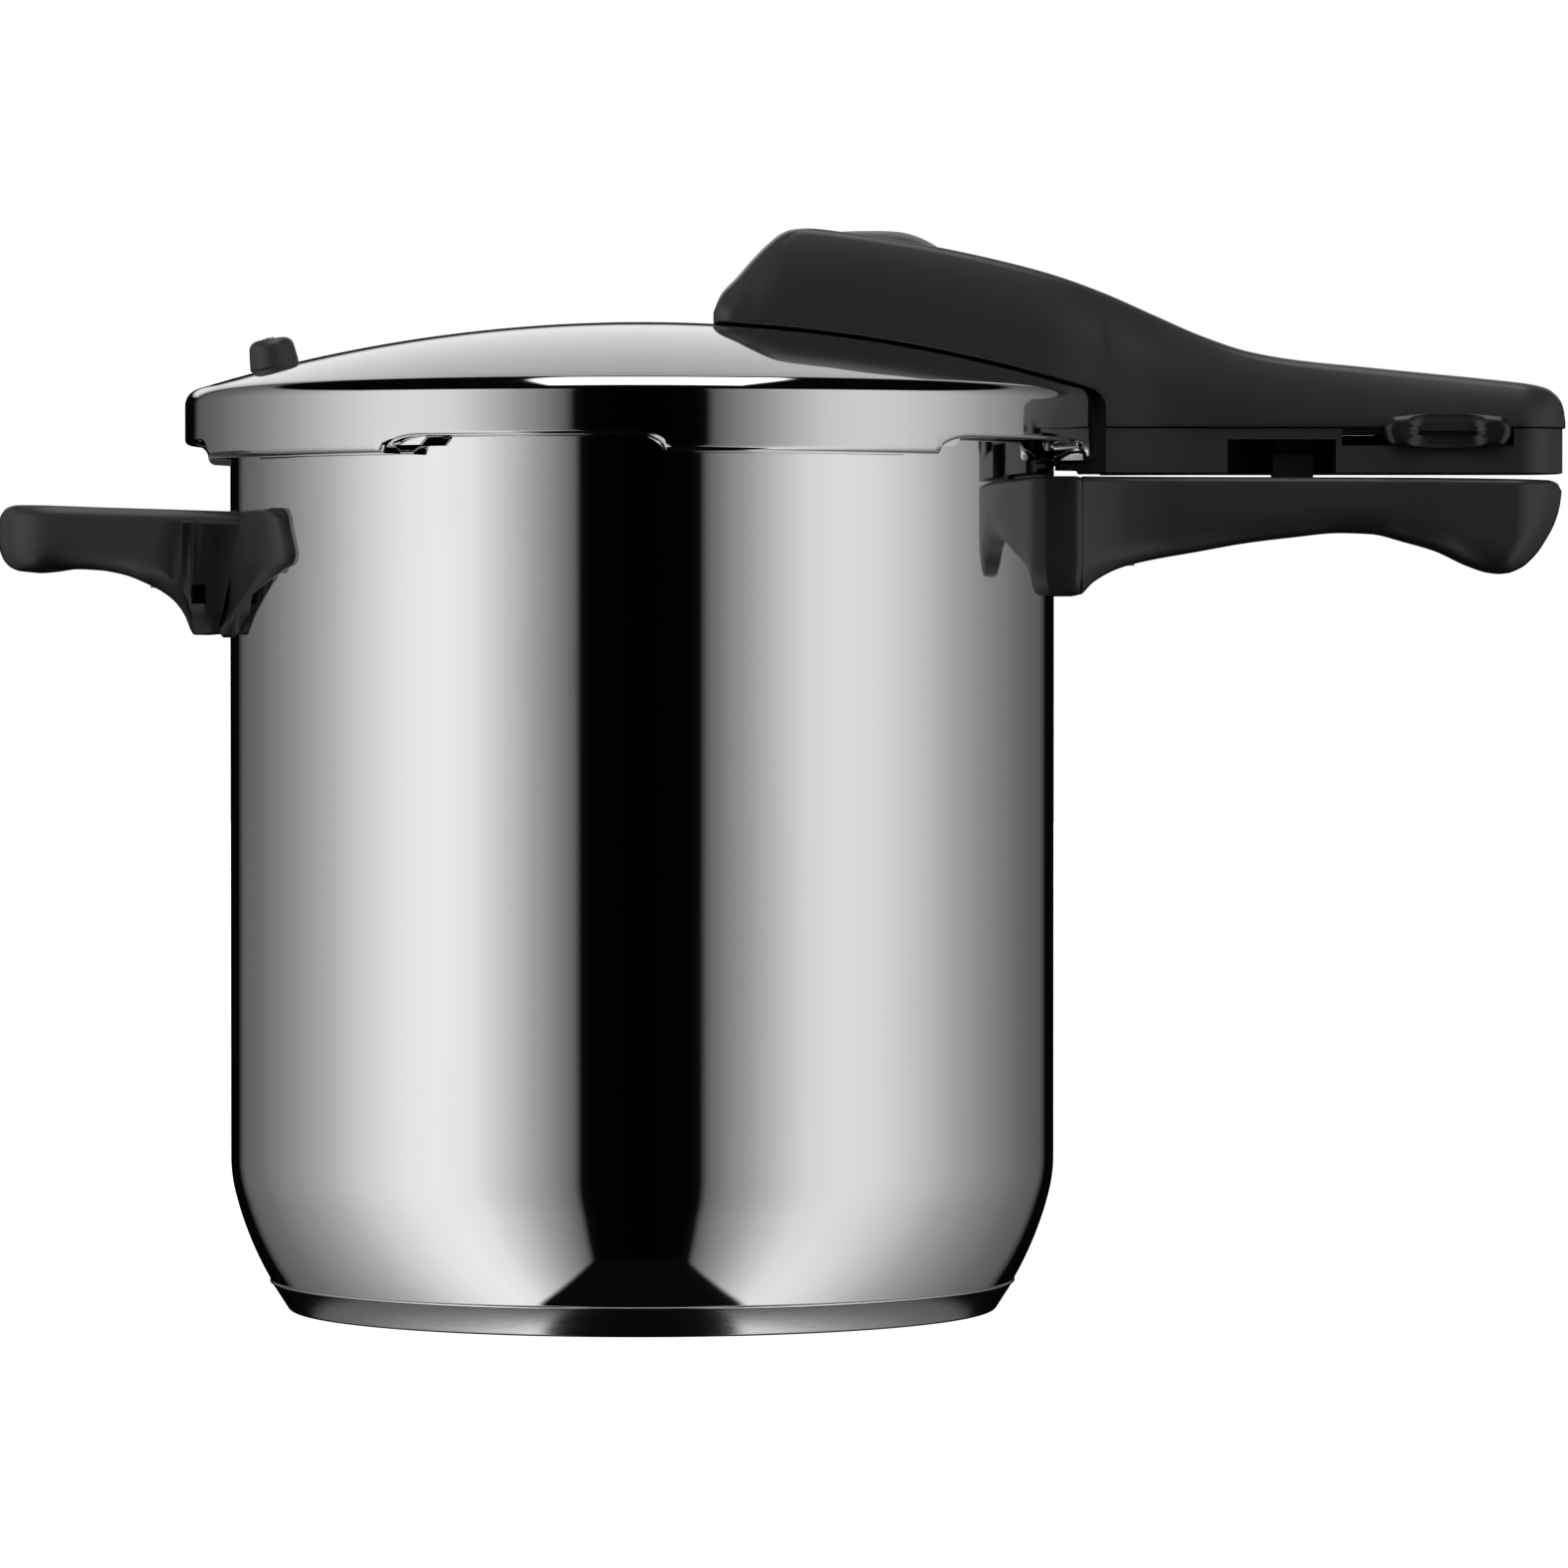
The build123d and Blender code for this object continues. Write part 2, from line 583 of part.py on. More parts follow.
def handle_plan(inset):
    """The lid handle from above: broad head over the lid, slim grip, rounded end."""
    head_w = HEAD_HALF_W - inset
    grip_w = GRIP_HALF_W - inset
    front_x = NOSE_X + inset
    rear_x = HANDLE_END_X - inset
    front = Line((front_x, -14), (front_x, 14))
    corner = ThreePointArc((front_x, 14), (front_x + 3.7, head_w - 3.4), (33, head_w))
    head = Line((33, head_w), (92, head_w))
    waist = Spline((92, head_w), (158, grip_w), tangents=[(1, 0), (1, 0)])
    grip = Line((158, grip_w), (236, grip_w))
    rear_corner = ThreePointArc((236, grip_w), (rear_x - 3.2, grip_w - 4.0), (rear_x, 6))
    rear = Line((rear_x, -6), (rear_x, 6))
    half = Curve() + [corner, head, waist, grip, rear_corner]
    return make_face(half + mirror(half, Plane.XZ) + [front, rear])


def cover_back():
    """The cover's top line from the side: nose, crest, the long fall to the grip, rounded end."""
    nose = Spline(
        (NOSE_X, 268.6), (21.3, 273.4), (29.7, 283.0), (36.6, 289.2), (42.6, 291.1),
        tangents=[(0.1, 1), (1, -0.02)],
    )
    back = Spline(
        nose @ 1, (81.3, 285.7), (111.4, 278.2), (137.2, 268.2), (163.0, 258.2), (193.1, 254.1),
        (240.4, 249.3), tangents=[(1, -0.02), (1, -0.12)],
    )
    end = ThreePointArc(back @ 1, (246.8, 246.0), (HANDLE_END_X, 241.0))
    return nose, back, end


def cover_outline():
    """The cover from the side; its lower edge follows the dome and the lid's rim."""
    dome_start = 24.2
    dome_end = 120.4
    nose, back, end = cover_back()
    hug = ThreePointArc(
        (dome_end, dome_z(dome_end, COVER_GAP)),
        (70, dome_z(70, COVER_GAP)),
        (dome_start, dome_z(dome_start, COVER_GAP)),
    )
    heel = ThreePointArc((HANDLE_ROOT_X, 244.6), (123.4, 246.8), hug @ 0)
    return side_face(
        nose, back, end,
        Line(end @ 1, (HANDLE_END_X, SPLIT_Z)),
        Line((HANDLE_END_X, SPLIT_Z), (HANDLE_ROOT_X, SPLIT_Z)),
        Line((HANDLE_ROOT_X, SPLIT_Z), heel @ 0),
        heel, hug,
        Line(hug @ 1, (NOSE_X, 266.4)),
        Line((NOSE_X, 266.4), nose @ 0),
    )


def cover_hollow():
    """Everything inside and below the cover's skin."""
    nose, back, end = cover_back()
    low = 190
    space = side_face(
        nose, back, end,
        Line(end @ 1, (HANDLE_END_X, low)),
        Line((HANDLE_END_X, low), (NOSE_X, low)),
        Line((NOSE_X, low), nose @ 0),
    )
    lowered = Pos(0, 0, -HANDLE_WALL) * extrude(space, TALL / 4, both=True)
    return lowered & extrude(handle_plan(HANDLE_WALL), TALL)


def make_handle_cover():
    """Upper moulding of the lid handle: a thin shell open underneath."""
    outer = extrude(cover_outline(), TALL / 4, both=True) & extrude(handle_plan(0), TALL)
    root_wall = block(HANDLE_ROOT_X, HANDLE_ROOT_X + HANDLE_WALL, -30, 30, SPLIT_Z, 250)
    strap_gate = block(120, 134, -STRAP_HALF_W - FIT, STRAP_HALF_W + FIT, 248.9, 257)
    shell = outer - (cover_hollow() - (root_wall - strap_gate))
    shell = shell + (rod(SCREW_END_X, 4.2, SPLIT_Z, 260) & outer)
    shell = shell - rod(SCREW_END_X, SCREW_R, SPLIT_Z - 1, 243)
    shell = shell - rod(INDICATOR_X, COLLAR_NECK_R, 280, 300)
    return shell - rod(INDICATOR_X, COLLAR_RING_R, COLLAR_SEAT_Z, 300)


def make_handle_base():
    """Lower moulding of the lid handle: tray with the lug recess and the latch slots."""
    plan = handle_plan(HANDLE_STEP)
    outer = Pos(0, 0, SHELL_LOW_Z) * extrude(plan, SPLIT_Z - SHELL_LOW_Z)
    outer = outer & block(HANDLE_ROOT_X, TALL, -50, 50, 0, TALL)
    inner_plan = handle_plan(HANDLE_STEP + HANDLE_WALL)
    inner = Pos(0, 0, SHELL_LOW_Z + HANDLE_WALL) * extrude(inner_plan, 20)
    front = block(HANDLE_ROOT_X + HANDLE_WALL, RECESS_X[0] - ROOF_T, -40, 40, 0, TALL)
    rear = block(RECESS_X[1] + ROOF_T, TALL, -40, 40, 0, TALL)
    middle = block(RECESS_X[0] - 2, RECESS_X[1] + 2, -40, 40, RECESS_TOP_Z + ROOF_T, TALL)
    tray = outer - (inner & front) - (inner & rear) - (inner & middle)
    recess = block(*RECESS_X, -50, RECESS_BACK_Y, SHELL_LOW_Z - 1, RECESS_TOP_Z)
    stem_half_w = BOLT_STEM_HALF_W + FIT
    roof_slot = block(
        BOLT_STEM_X[0] - LATCH_TRAVEL - FIT, BOLT_STEM_X[1] + FIT,
        -stem_half_w, stem_half_w, RECESS_TOP_Z - 1, SPLIT_Z,
    )
    latch_slot = block(*SLOT_X, -50, 50, SLOT_LOW_Z, SPLIT_Z)
    strap_post = rod(STRAP_SCREW_X, POST_R, SHELL_LOW_Z, STRAP_END_Z - STRAP_T)
    end_post = rod(SCREW_END_X, POST_R, SHELL_LOW_Z, SPLIT_Z)
    tray = tray + strap_post + end_post - recess - roof_slot - latch_slot
    for x in (STRAP_SCREW_X, SCREW_END_X):
        tray = tray - rod(x, SCREW_HEAD_R, 220, SHELL_LOW_Z + 3.2) - rod(x, SCREW_R, 220, 240)
    return tray


def make_handle_screws():
    """Two screws from below: one into the lid's strap, one into the cover."""
    screws = [
        cap_screw(STRAP_SCREW_X, SHELL_LOW_Z + 0.6, 240.5),
        cap_screw(SCREW_END_X, SHELL_LOW_Z + 0.6, 242.5),
    ]
    return Compound(children=screws)


def make_handle_floor():
    """Thin plate that closes the handle's head a little above the dome."""
    shell = dome_ball(2.4) - dome_ball(0.8)
    plan = extrude(handle_plan(HANDLE_WALL + 0.2), TALL) & block(24, 121, -50, 50, 200, 300)
    holes = rod(INDICATOR_X, 10.2, 200, 300) + rod(STEAM_X, 6.4, 200, 300)
    strap_hole = block(88, 130, -STRAP_HALF_W - FIT, STRAP_HALF_W + FIT, 200, 300)
    return (shell & plan) - holes - strap_hole


def make_lid_strap():
    """Steel strap welded on the dome; it steps over the rim into the handle's grip."""
    step = side_face(Polyline(
        (92, 248), (92, 258.6), (124, 255.4), (132.5, 251.0), (132.5, 240.4), (144, 240.4),
        (144, STRAP_END_Z), (130, STRAP_END_Z), (130, 249.6), (123, 252.8), (110, 252.8), (110, 248),
        close=True,
    ))
    strap = extrude(step, STRAP_HALF_W, both=True)
    under_dome = dome_ball(0) & block(0, LID_R, -50, 50, 200, 300)
    return strap - under_dome - rod(STRAP_SCREW_X, SCREW_R, 230, 245)


# ================================================================ latch

def make_slider_button():
    """Latch button: an oval pad on each side of the grip, joined by a bar through the slots."""
    bar_half_w = GRIP_HALF_W + FIT
    bar = block(*BAR_X, -bar_half_w, bar_half_w, *BAR_Z)
    length = BUTTON_X[1] - BUTTON_X[0]
    height = BUTTON_Z[1] - BUTTON_Z[0]
    middle_x = sum(BUTTON_X) / 2
    middle_z = sum(BUTTON_Z) / 2
    oval = Plane.XZ * Pos(middle_x, middle_z) * RectangleRounded(length, height, height / 2 - 0.2)
    pad = Pos(0, -bar_half_w, 0) * extrude(oval, BUTTON_PROUD)
    rim = pad.edges().group_by(Axis.Y)[0]
    pad = fillet(rim, 1.2)
    scoop_y = -bar_half_w - BUTTON_PROUD - SCOOP_R + SCOOP_DEPTH
    pad = pad - Pos(middle_x, scoop_y, middle_z) * Cylinder(SCOOP_R, TALL)
    return bar + pad + mirror(pad, Plane.XZ)


def make_slider_rod():
    """Flat steel rod from the button's bar to the lock bolt."""
    return block(*ROD_X, -ROD_HALF_W, ROD_HALF_W, BAR_Z[1], BAR_Z[1] + ROD_T)


def make_lock_bolt():
    """Lock bolt that hangs in the recess, close over the pot handle's lug."""
    low = LOCK_LUG_TOP_Z + FIT + 0.05
    bolt = block(*BOLT_X, -BOLT_HALF_W, BOLT_HALF_W, low, RECESS_TOP_Z - FIT)
    return bolt + block(*BOLT_STEM_X, -BOLT_STEM_HALF_W, BOLT_STEM_HALF_W, low, BAR_Z[1])


def make_slider_spring():
    """Return spring of the latch, between the button's bar and the rear post."""
    front_x = BAR_X[1] + FIT
    spring = coil_spring(0, 2.2, 0.4, 0, 12.4, 8)
    return Pos(front_x, 0, 233.2) * Rot(0, 90, 0) * spring


PARTS = {
    "pot_body": make_pot_body,
    "base_core": make_base_core,
    "base_cap": make_base_cap,
    "pot_handle_bracket": make_pot_handle_bracket,
    "pot_handle_collar": make_pot_handle_collar,
    "pot_handle_grip": make_pot_handle_grip,
    "pot_handle_screw": make_pot_handle_screw,
    "helper_bracket": make_helper_bracket,
    "helper_flange": make_helper_flange,
    "helper_grip": make_helper_grip,
    "helper_screw": make_helper_screw,
    "sealing_ring": make_sealing_ring,
    "lid_shell": make_lid_shell,
    "lid_strap": make_lid_strap,
    "safety_valve": make_safety_valve,
    "safety_valve_pin": make_safety_valve_pin,
    "indicator_seat": make_indicator_seat,
    "indicator_nut": make_indicator_nut,
    "indicator_membrane": make_indicator_membrane,
    "indicator_collar": make_indicator_collar,
    "indicator_pin": make_indicator_pin,
    "indicator_spring": make_indicator_spring,
    "steam_seat": make_steam_seat,
    "steam_nut": make_steam_nut,
    "steam_plunger": make_steam_plunger,
    "steam_spring": make_steam_spring,
    "steam_cap": make_steam_cap,
    "handle_cover": make_handle_cover,
    "handle_base": make_handle_base,
    "handle_floor": make_handle_floor,
    "handle_screws": make_handle_screws,
    "slider_button": make_slider_button,
    "slider_rod": make_slider_rod,
    "lock_bolt": make_lock_bolt,
    "slider_spring": make_slider_spring,
}

os.makedirs("parts", exist_ok=True)
for name, make in PARTS.items():
    export_step(make(), f"parts/{name}.step")
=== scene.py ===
"""Stovetop pressure cooker: the visible model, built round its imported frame.

Every length is in metres.  The frame's origin is the pot's axis at the underside of the base,
+Z is up and +X runs along the two long handles.
"""

import json
import logging
import math
from dataclasses import dataclass, field
from enum import Enum
from typing import Callable, Iterable, Sequence

import bmesh
import bpy
from mathutils import Matrix, Vector


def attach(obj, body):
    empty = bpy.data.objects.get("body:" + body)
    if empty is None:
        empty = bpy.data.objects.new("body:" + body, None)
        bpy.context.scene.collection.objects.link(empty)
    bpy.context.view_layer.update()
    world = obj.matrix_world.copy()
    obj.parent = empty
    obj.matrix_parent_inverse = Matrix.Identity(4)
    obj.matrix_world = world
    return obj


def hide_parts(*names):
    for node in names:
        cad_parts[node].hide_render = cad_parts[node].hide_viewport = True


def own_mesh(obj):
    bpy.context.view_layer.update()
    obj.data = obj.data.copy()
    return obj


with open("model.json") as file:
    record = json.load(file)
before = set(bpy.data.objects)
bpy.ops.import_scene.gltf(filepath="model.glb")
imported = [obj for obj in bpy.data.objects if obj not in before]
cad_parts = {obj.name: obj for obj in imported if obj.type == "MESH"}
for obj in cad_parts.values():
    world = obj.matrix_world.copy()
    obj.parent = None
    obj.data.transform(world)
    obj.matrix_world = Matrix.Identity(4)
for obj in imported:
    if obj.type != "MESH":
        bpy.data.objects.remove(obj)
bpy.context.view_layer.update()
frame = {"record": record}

log = logging.getLogger("pressure_cooker")

MM = 0.001
Point2 = tuple[float, float]
Point3 = tuple[float, float, float]


class Body(Enum):
    """The bodies of the frame that visible pieces ride on."""

    POT = "pot"
    LID = "lid"
    LATCH = "latch"


class Slot(Enum):
    """Material slots of the record."""

    POLISHED = "polished_steel"
    BRUSHED = "brushed_steel"
    CORE = "core_aluminium"
    BRACKET = "bracket_steel"
    SCREW = "screw_steel"
    SPRING = "spring_steel"
    BRASS = "socket_brass"
    SATIN_BLACK = "black_plastic"
    GLOSS_BLACK = "gloss_black"
    RUBBER = "black_rubber"
    SILICONE = "grey_silicone"
    INDICATOR = "indicator_plastic"


# ---------------------------------------------------------------------------
# Curves and meshes
# ---------------------------------------------------------------------------


def smoothstep(value: float, low: float, high: float) -> float:
    """Ease from 0 at low to 1 at high."""
    t = min(max((value - low) / (high - low), 0.0), 1.0)
    return t * t * (3.0 - 2.0 * t)


def arc_points(centre: Point2, radius: float, start: float, stop: float, steps: int) -> list[Point2]:
    """Points along a circular arc.

    Args:
        centre: Middle of the circle.
        radius: Radius of the circle.
        start: First angle in degrees, from the first axis towards the second.
        stop: Last angle in degrees.
        steps: Number of chords.

    Returns:
        steps + 1 points from start to stop.
    """
    points = []
    for i in range(steps + 1):
        angle = math.radians(start + (stop - start) * i / steps)
        points.append((centre[0] + radius * math.cos(angle), centre[1] + radius * math.sin(angle)))
    return points


@dataclass(frozen=True)
class Line:
    """A smooth line through a few given points, read as height against distance."""

    points: tuple[Point2, ...]

    def __call__(self, x: float) -> float:
        """Height of the line at a distance, eased between its points (monotone cubic)."""
        pts = self.points
        if x <= pts[0][0]:
            return pts[0][1]
        if x >= pts[-1][0]:
            return pts[-1][1]
        i = max(k for k in range(len(pts) - 1) if pts[k][0] <= x)
        span = pts[i + 1][0] - pts[i][0]
        t = (x - pts[i][0]) / span
        rise_a = self.slope(i) * span
        rise_b = self.slope(i + 1) * span
        return (
            (2 * t**3 - 3 * t**2 + 1) * pts[i][1]
            + (t**3 - 2 * t**2 + t) * rise_a
            + (-2 * t**3 + 3 * t**2) * pts[i + 1][1]
            + (t**3 - t**2) * rise_b
        )

    def slope(self, i: int) -> float:
        """Slope at one of the points, kept from overshooting its neighbours."""
        pts = self.points

        def secant(k: int) -> float:
            """Slope of the straight run after a point."""
            return (pts[k + 1][1] - pts[k][1]) / (pts[k + 1][0] - pts[k][0])

        if i == 0:
            return secant(0)
        if i == len(pts) - 1:
            return secant(i - 1)
        before, after = secant(i - 1), secant(i)
        if before * after <= 0:
            return 0.0
        return 2 * before * after / (before + after)


def new_object(name: str, verts: Sequence[Point3], faces: Sequence[Sequence[int]],
               sharp_deg: float = 35.0) -> bpy.types.Object:
    """Make a clean, smooth-shaded mesh object.

    Args:
        name: Name of the piece.
        verts: Corner points in metres.
        faces: Corner indices of each face.
        sharp_deg: Edges that bend more than this stay crisp.

    Returns:
        The new object, linked to the scene.
    """
    mesh = bpy.data.meshes.new(name)
    mesh.from_pydata([tuple(v) for v in verts], [], [list(f) for f in faces])
    tidy_mesh(mesh, sharp_deg)
    piece = bpy.data.objects.new(name, mesh)
    bpy.context.scene.collection.objects.link(piece)
    return piece


def tidy_mesh(mesh: bpy.types.Mesh, sharp_deg: float) -> None:
    """Weld doubles, point the faces outwards, shade smooth and mark the crisp edges."""
    bm = bmesh.new()
    bm.from_mesh(mesh)
    bmesh.ops.remove_doubles(bm, verts=bm.verts, dist=1e-6)
    bmesh.ops.dissolve_degenerate(bm, edges=bm.edges, dist=1e-6)
    bmesh.ops.recalc_face_normals(bm, faces=bm.faces)
    limit = math.radians(sharp_deg)
    for face in bm.faces:
        face.smooth = True
    for edge in bm.edges:
        edge.smooth = len(edge.link_faces) == 2 and edge.calc_face_angle(0.0) < limit
    bm.to_mesh(mesh)
    bm.free()
    mesh.update()


def grid_faces(rows: int, columns: int, wrap_rows: bool, wrap_columns: bool) -> list[list[int]]:
    """Quads of a grid of points, stored row after row.

    Args:
        rows: Number of rows.
        columns: Points in each row.
        wrap_rows: Join the last row to the first.
        wrap_columns: Join the last point of each row to its first.

    Returns:
        Corner indices of each quad.
    """
    faces = []
    for i in range(rows if wrap_rows else rows - 1):
        for j in range(columns if wrap_columns else columns - 1):
            i2 = (i + 1) % rows
            j2 = (j + 1) % columns
            faces.append([i * columns + j, i * columns + j2, i2 * columns + j2, i2 * columns + j])
    return faces


def lathe(name: str, profile: Sequence[Point2], segments: int, closed: bool = True,
          sharp_deg: float = 35.0) -> bpy.types.Object:
    """Spin a profile of (radius, height) points round the pot's axis.

    Args:
        name: Name of the piece.
        profile: Points of the section in metres.
        segments: Facets round the axis.
        closed: Join the profile's end to its start.
        sharp_deg: Edges that bend more than this stay crisp.

    Returns:
        The new object.
    """
    verts = []
    for i in range(segments):
        turn = 2 * math.pi * i / segments
        verts += [(r * math.cos(turn), r * math.sin(turn), z) for r, z in profile]
    return new_object(name, verts, grid_faces(segments, len(profile), True, closed), sharp_deg)


def loft(name: str, sections: Sequence[Sequence[Point3]], sharp_deg: float = 35.0) -> bpy.types.Object:
    """Skin a row of closed sections and cap both ends.

    Args:
        name: Name of the piece.
        sections: Rings of points, all with the same count.
        sharp_deg: Edges that bend more than this stay crisp.

    Returns:
        The new object.
    """
    count = len(sections[0])
    verts = [p for section in sections for p in section]
    faces = grid_faces(len(sections), count, False, True)
    last = (len(sections) - 1) * count
    for start in (0, last):
        middle = sum((Vector(verts[start + j]) for j in range(count)), Vector()) / count
        hub = len(verts)
        verts.append(tuple(middle))
        faces += [[start + j, start + (j + 1) % count, hub] for j in range(count)]
    return new_object(name, verts, faces, sharp_deg)


def rounded_section(half_w: float, low: float, high: float, r_low: float, r_high: float,
                    steps: int = 7) -> list[Point2]:
    """A rounded rectangle in (y, z), with its own radius above and below.

    Args:
        half_w: Half width.
        low: Lowest height.
        high: Highest height.
        r_low: Radius of the lower corners.
        r_high: Radius of the upper corners.
        steps: Chords in each corner.

    Returns:
        Points counter-clockwise from the lower right corner.
    """
    room = max(high - low, 1e-5)
    r_low = max(min(r_low, half_w * 0.98, room * 0.6), 1e-5)
    r_high = max(min(r_high, half_w * 0.98, room - r_low), 1e-5)
    points = arc_points((half_w - r_low, low + r_low), r_low, -90, 0, steps)
    points += arc_points((half_w - r_high, high - r_high), r_high, 0, 90, steps)
    points += arc_points((-half_w + r_high, high - r_high), r_high, 90, 180, steps)
    points += arc_points((-half_w + r_low, low + r_low), r_low, 180, 270, steps)
    return points


def spread(stops: Sequence[float], step: float) -> list[float]:
    """Distances between the given stops, no further apart than a step."""
    values = [stops[0]]
    for a, b in zip(stops, stops[1:]):
        count = max(1, math.ceil(abs(b - a) / step))
        values += [a + (b - a) * (i + 1) / count for i in range(count)]
    return values


def carve(piece: bpy.types.Object, cutter: bpy.types.Object, sharp_deg: float = 35.0) -> None:
    """Cut one mesh out of another and drop the cutter."""
    cut = piece.modifiers.new("cut", "BOOLEAN")
    cut.operation = "DIFFERENCE"
    cut.solver = "EXACT"
    cut.object = cutter
    depsgraph = bpy.context.evaluated_depsgraph_get()
    result = bpy.data.meshes.new_from_object(piece.evaluated_get(depsgraph))
    piece.modifiers.remove(cut)
    piece.data = result
    tidy_mesh(result, sharp_deg)
    bpy.data.objects.remove(cutter, do_unlink=True)


def box_loft(name: str, low: Point3, high: Point3, radius: float) -> bpy.types.Object:
    """A box along X whose long edges are rounded."""
    half_w = (high[1] - low[1]) / 2
    middle_y = (high[1] + low[1]) / 2
    ring = rounded_section(half_w, low[2], high[2], radius, radius, 4)
    sections = [[(x, middle_y + y, z) for y, z in ring] for x in (low[0], high[0])]
    return loft(name, sections)


# ---------------------------------------------------------------------------
# Shader building
# ---------------------------------------------------------------------------


class Wires:
    """Short words for wiring a node tree."""

    def __init__(self, tree: bpy.types.NodeTree) -> None:
        """Keep the tree that the words act on."""
        self.tree = tree

    def add(self, kind: str, **settings: object) -> bpy.types.Node:
        """Add a node and set its properties."""
        node = self.tree.nodes.new(kind)
        for key, value in settings.items():
            setattr(node, key, value)
        return node

    def join(self, source: bpy.types.NodeSocket, target: bpy.types.NodeSocket) -> None:
        """Link one socket to another."""
        self.tree.links.new(source, target)

    def feed(self, target: bpy.types.NodeSocket, value: object) -> None:
        """Set a socket from a number or colour, or link it."""
        if isinstance(value, bpy.types.NodeSocket):
            self.join(value, target)
        else:
            target.default_value = value

    def calc(self, operation: str, a: object, b: object = 0.0) -> bpy.types.NodeSocket:
        """A Math node of two values."""
        node = self.add("ShaderNodeMath", operation=operation)
        self.feed(node.inputs[0], a)
        self.feed(node.inputs[1], b)
        return node.outputs[0]

    def remap(self, value: object, low: float, high: float, to_low: float = 0.0,
              to_high: float = 1.0, smooth: bool = True) -> bpy.types.NodeSocket:
        """A clamped Map Range node."""
        kind = "SMOOTHSTEP" if smooth else "LINEAR"
        node = self.add("ShaderNodeMapRange", interpolation_type=kind)
        self.feed(node.inputs["Value"], value)
        for socket, number in zip(node.inputs[1:5], (low, high, to_low, to_high)):
            socket.default_value = number
        return node.outputs["Result"]

    def blend(self, part: object, a: object, b: object) -> bpy.types.NodeSocket:
        """Mix two colours."""
        node = self.add("ShaderNodeMix", data_type="RGBA")
        self.feed(node.inputs["Factor"], part)
        self.feed(node.inputs[6], a)
        self.feed(node.inputs[7], b)
        return node.outputs[2]

    def noise(self, place: bpy.types.NodeSocket, scale: float) -> bpy.types.NodeSocket:
        """The value of a broad noise texture."""
        node = self.add("ShaderNodeTexNoise")
        self.join(place, node.inputs["Vector"])
        node.inputs["Scale"].default_value = scale
        node.inputs["Detail"].default_value = 3.0
        return node.outputs["Fac"]


def grey(value: float) -> tuple[float, float, float, float]:
    """A neutral colour."""
    return (value, value, value, 1.0)


class Effect(Enum):
    """Shared surface effects, each a node group."""

    GRAIN = "moulded_grain"
    BRUSHING = "turned_brushing"
    HANDLING = "handling_marks"
    POLISH = "polish_lines"


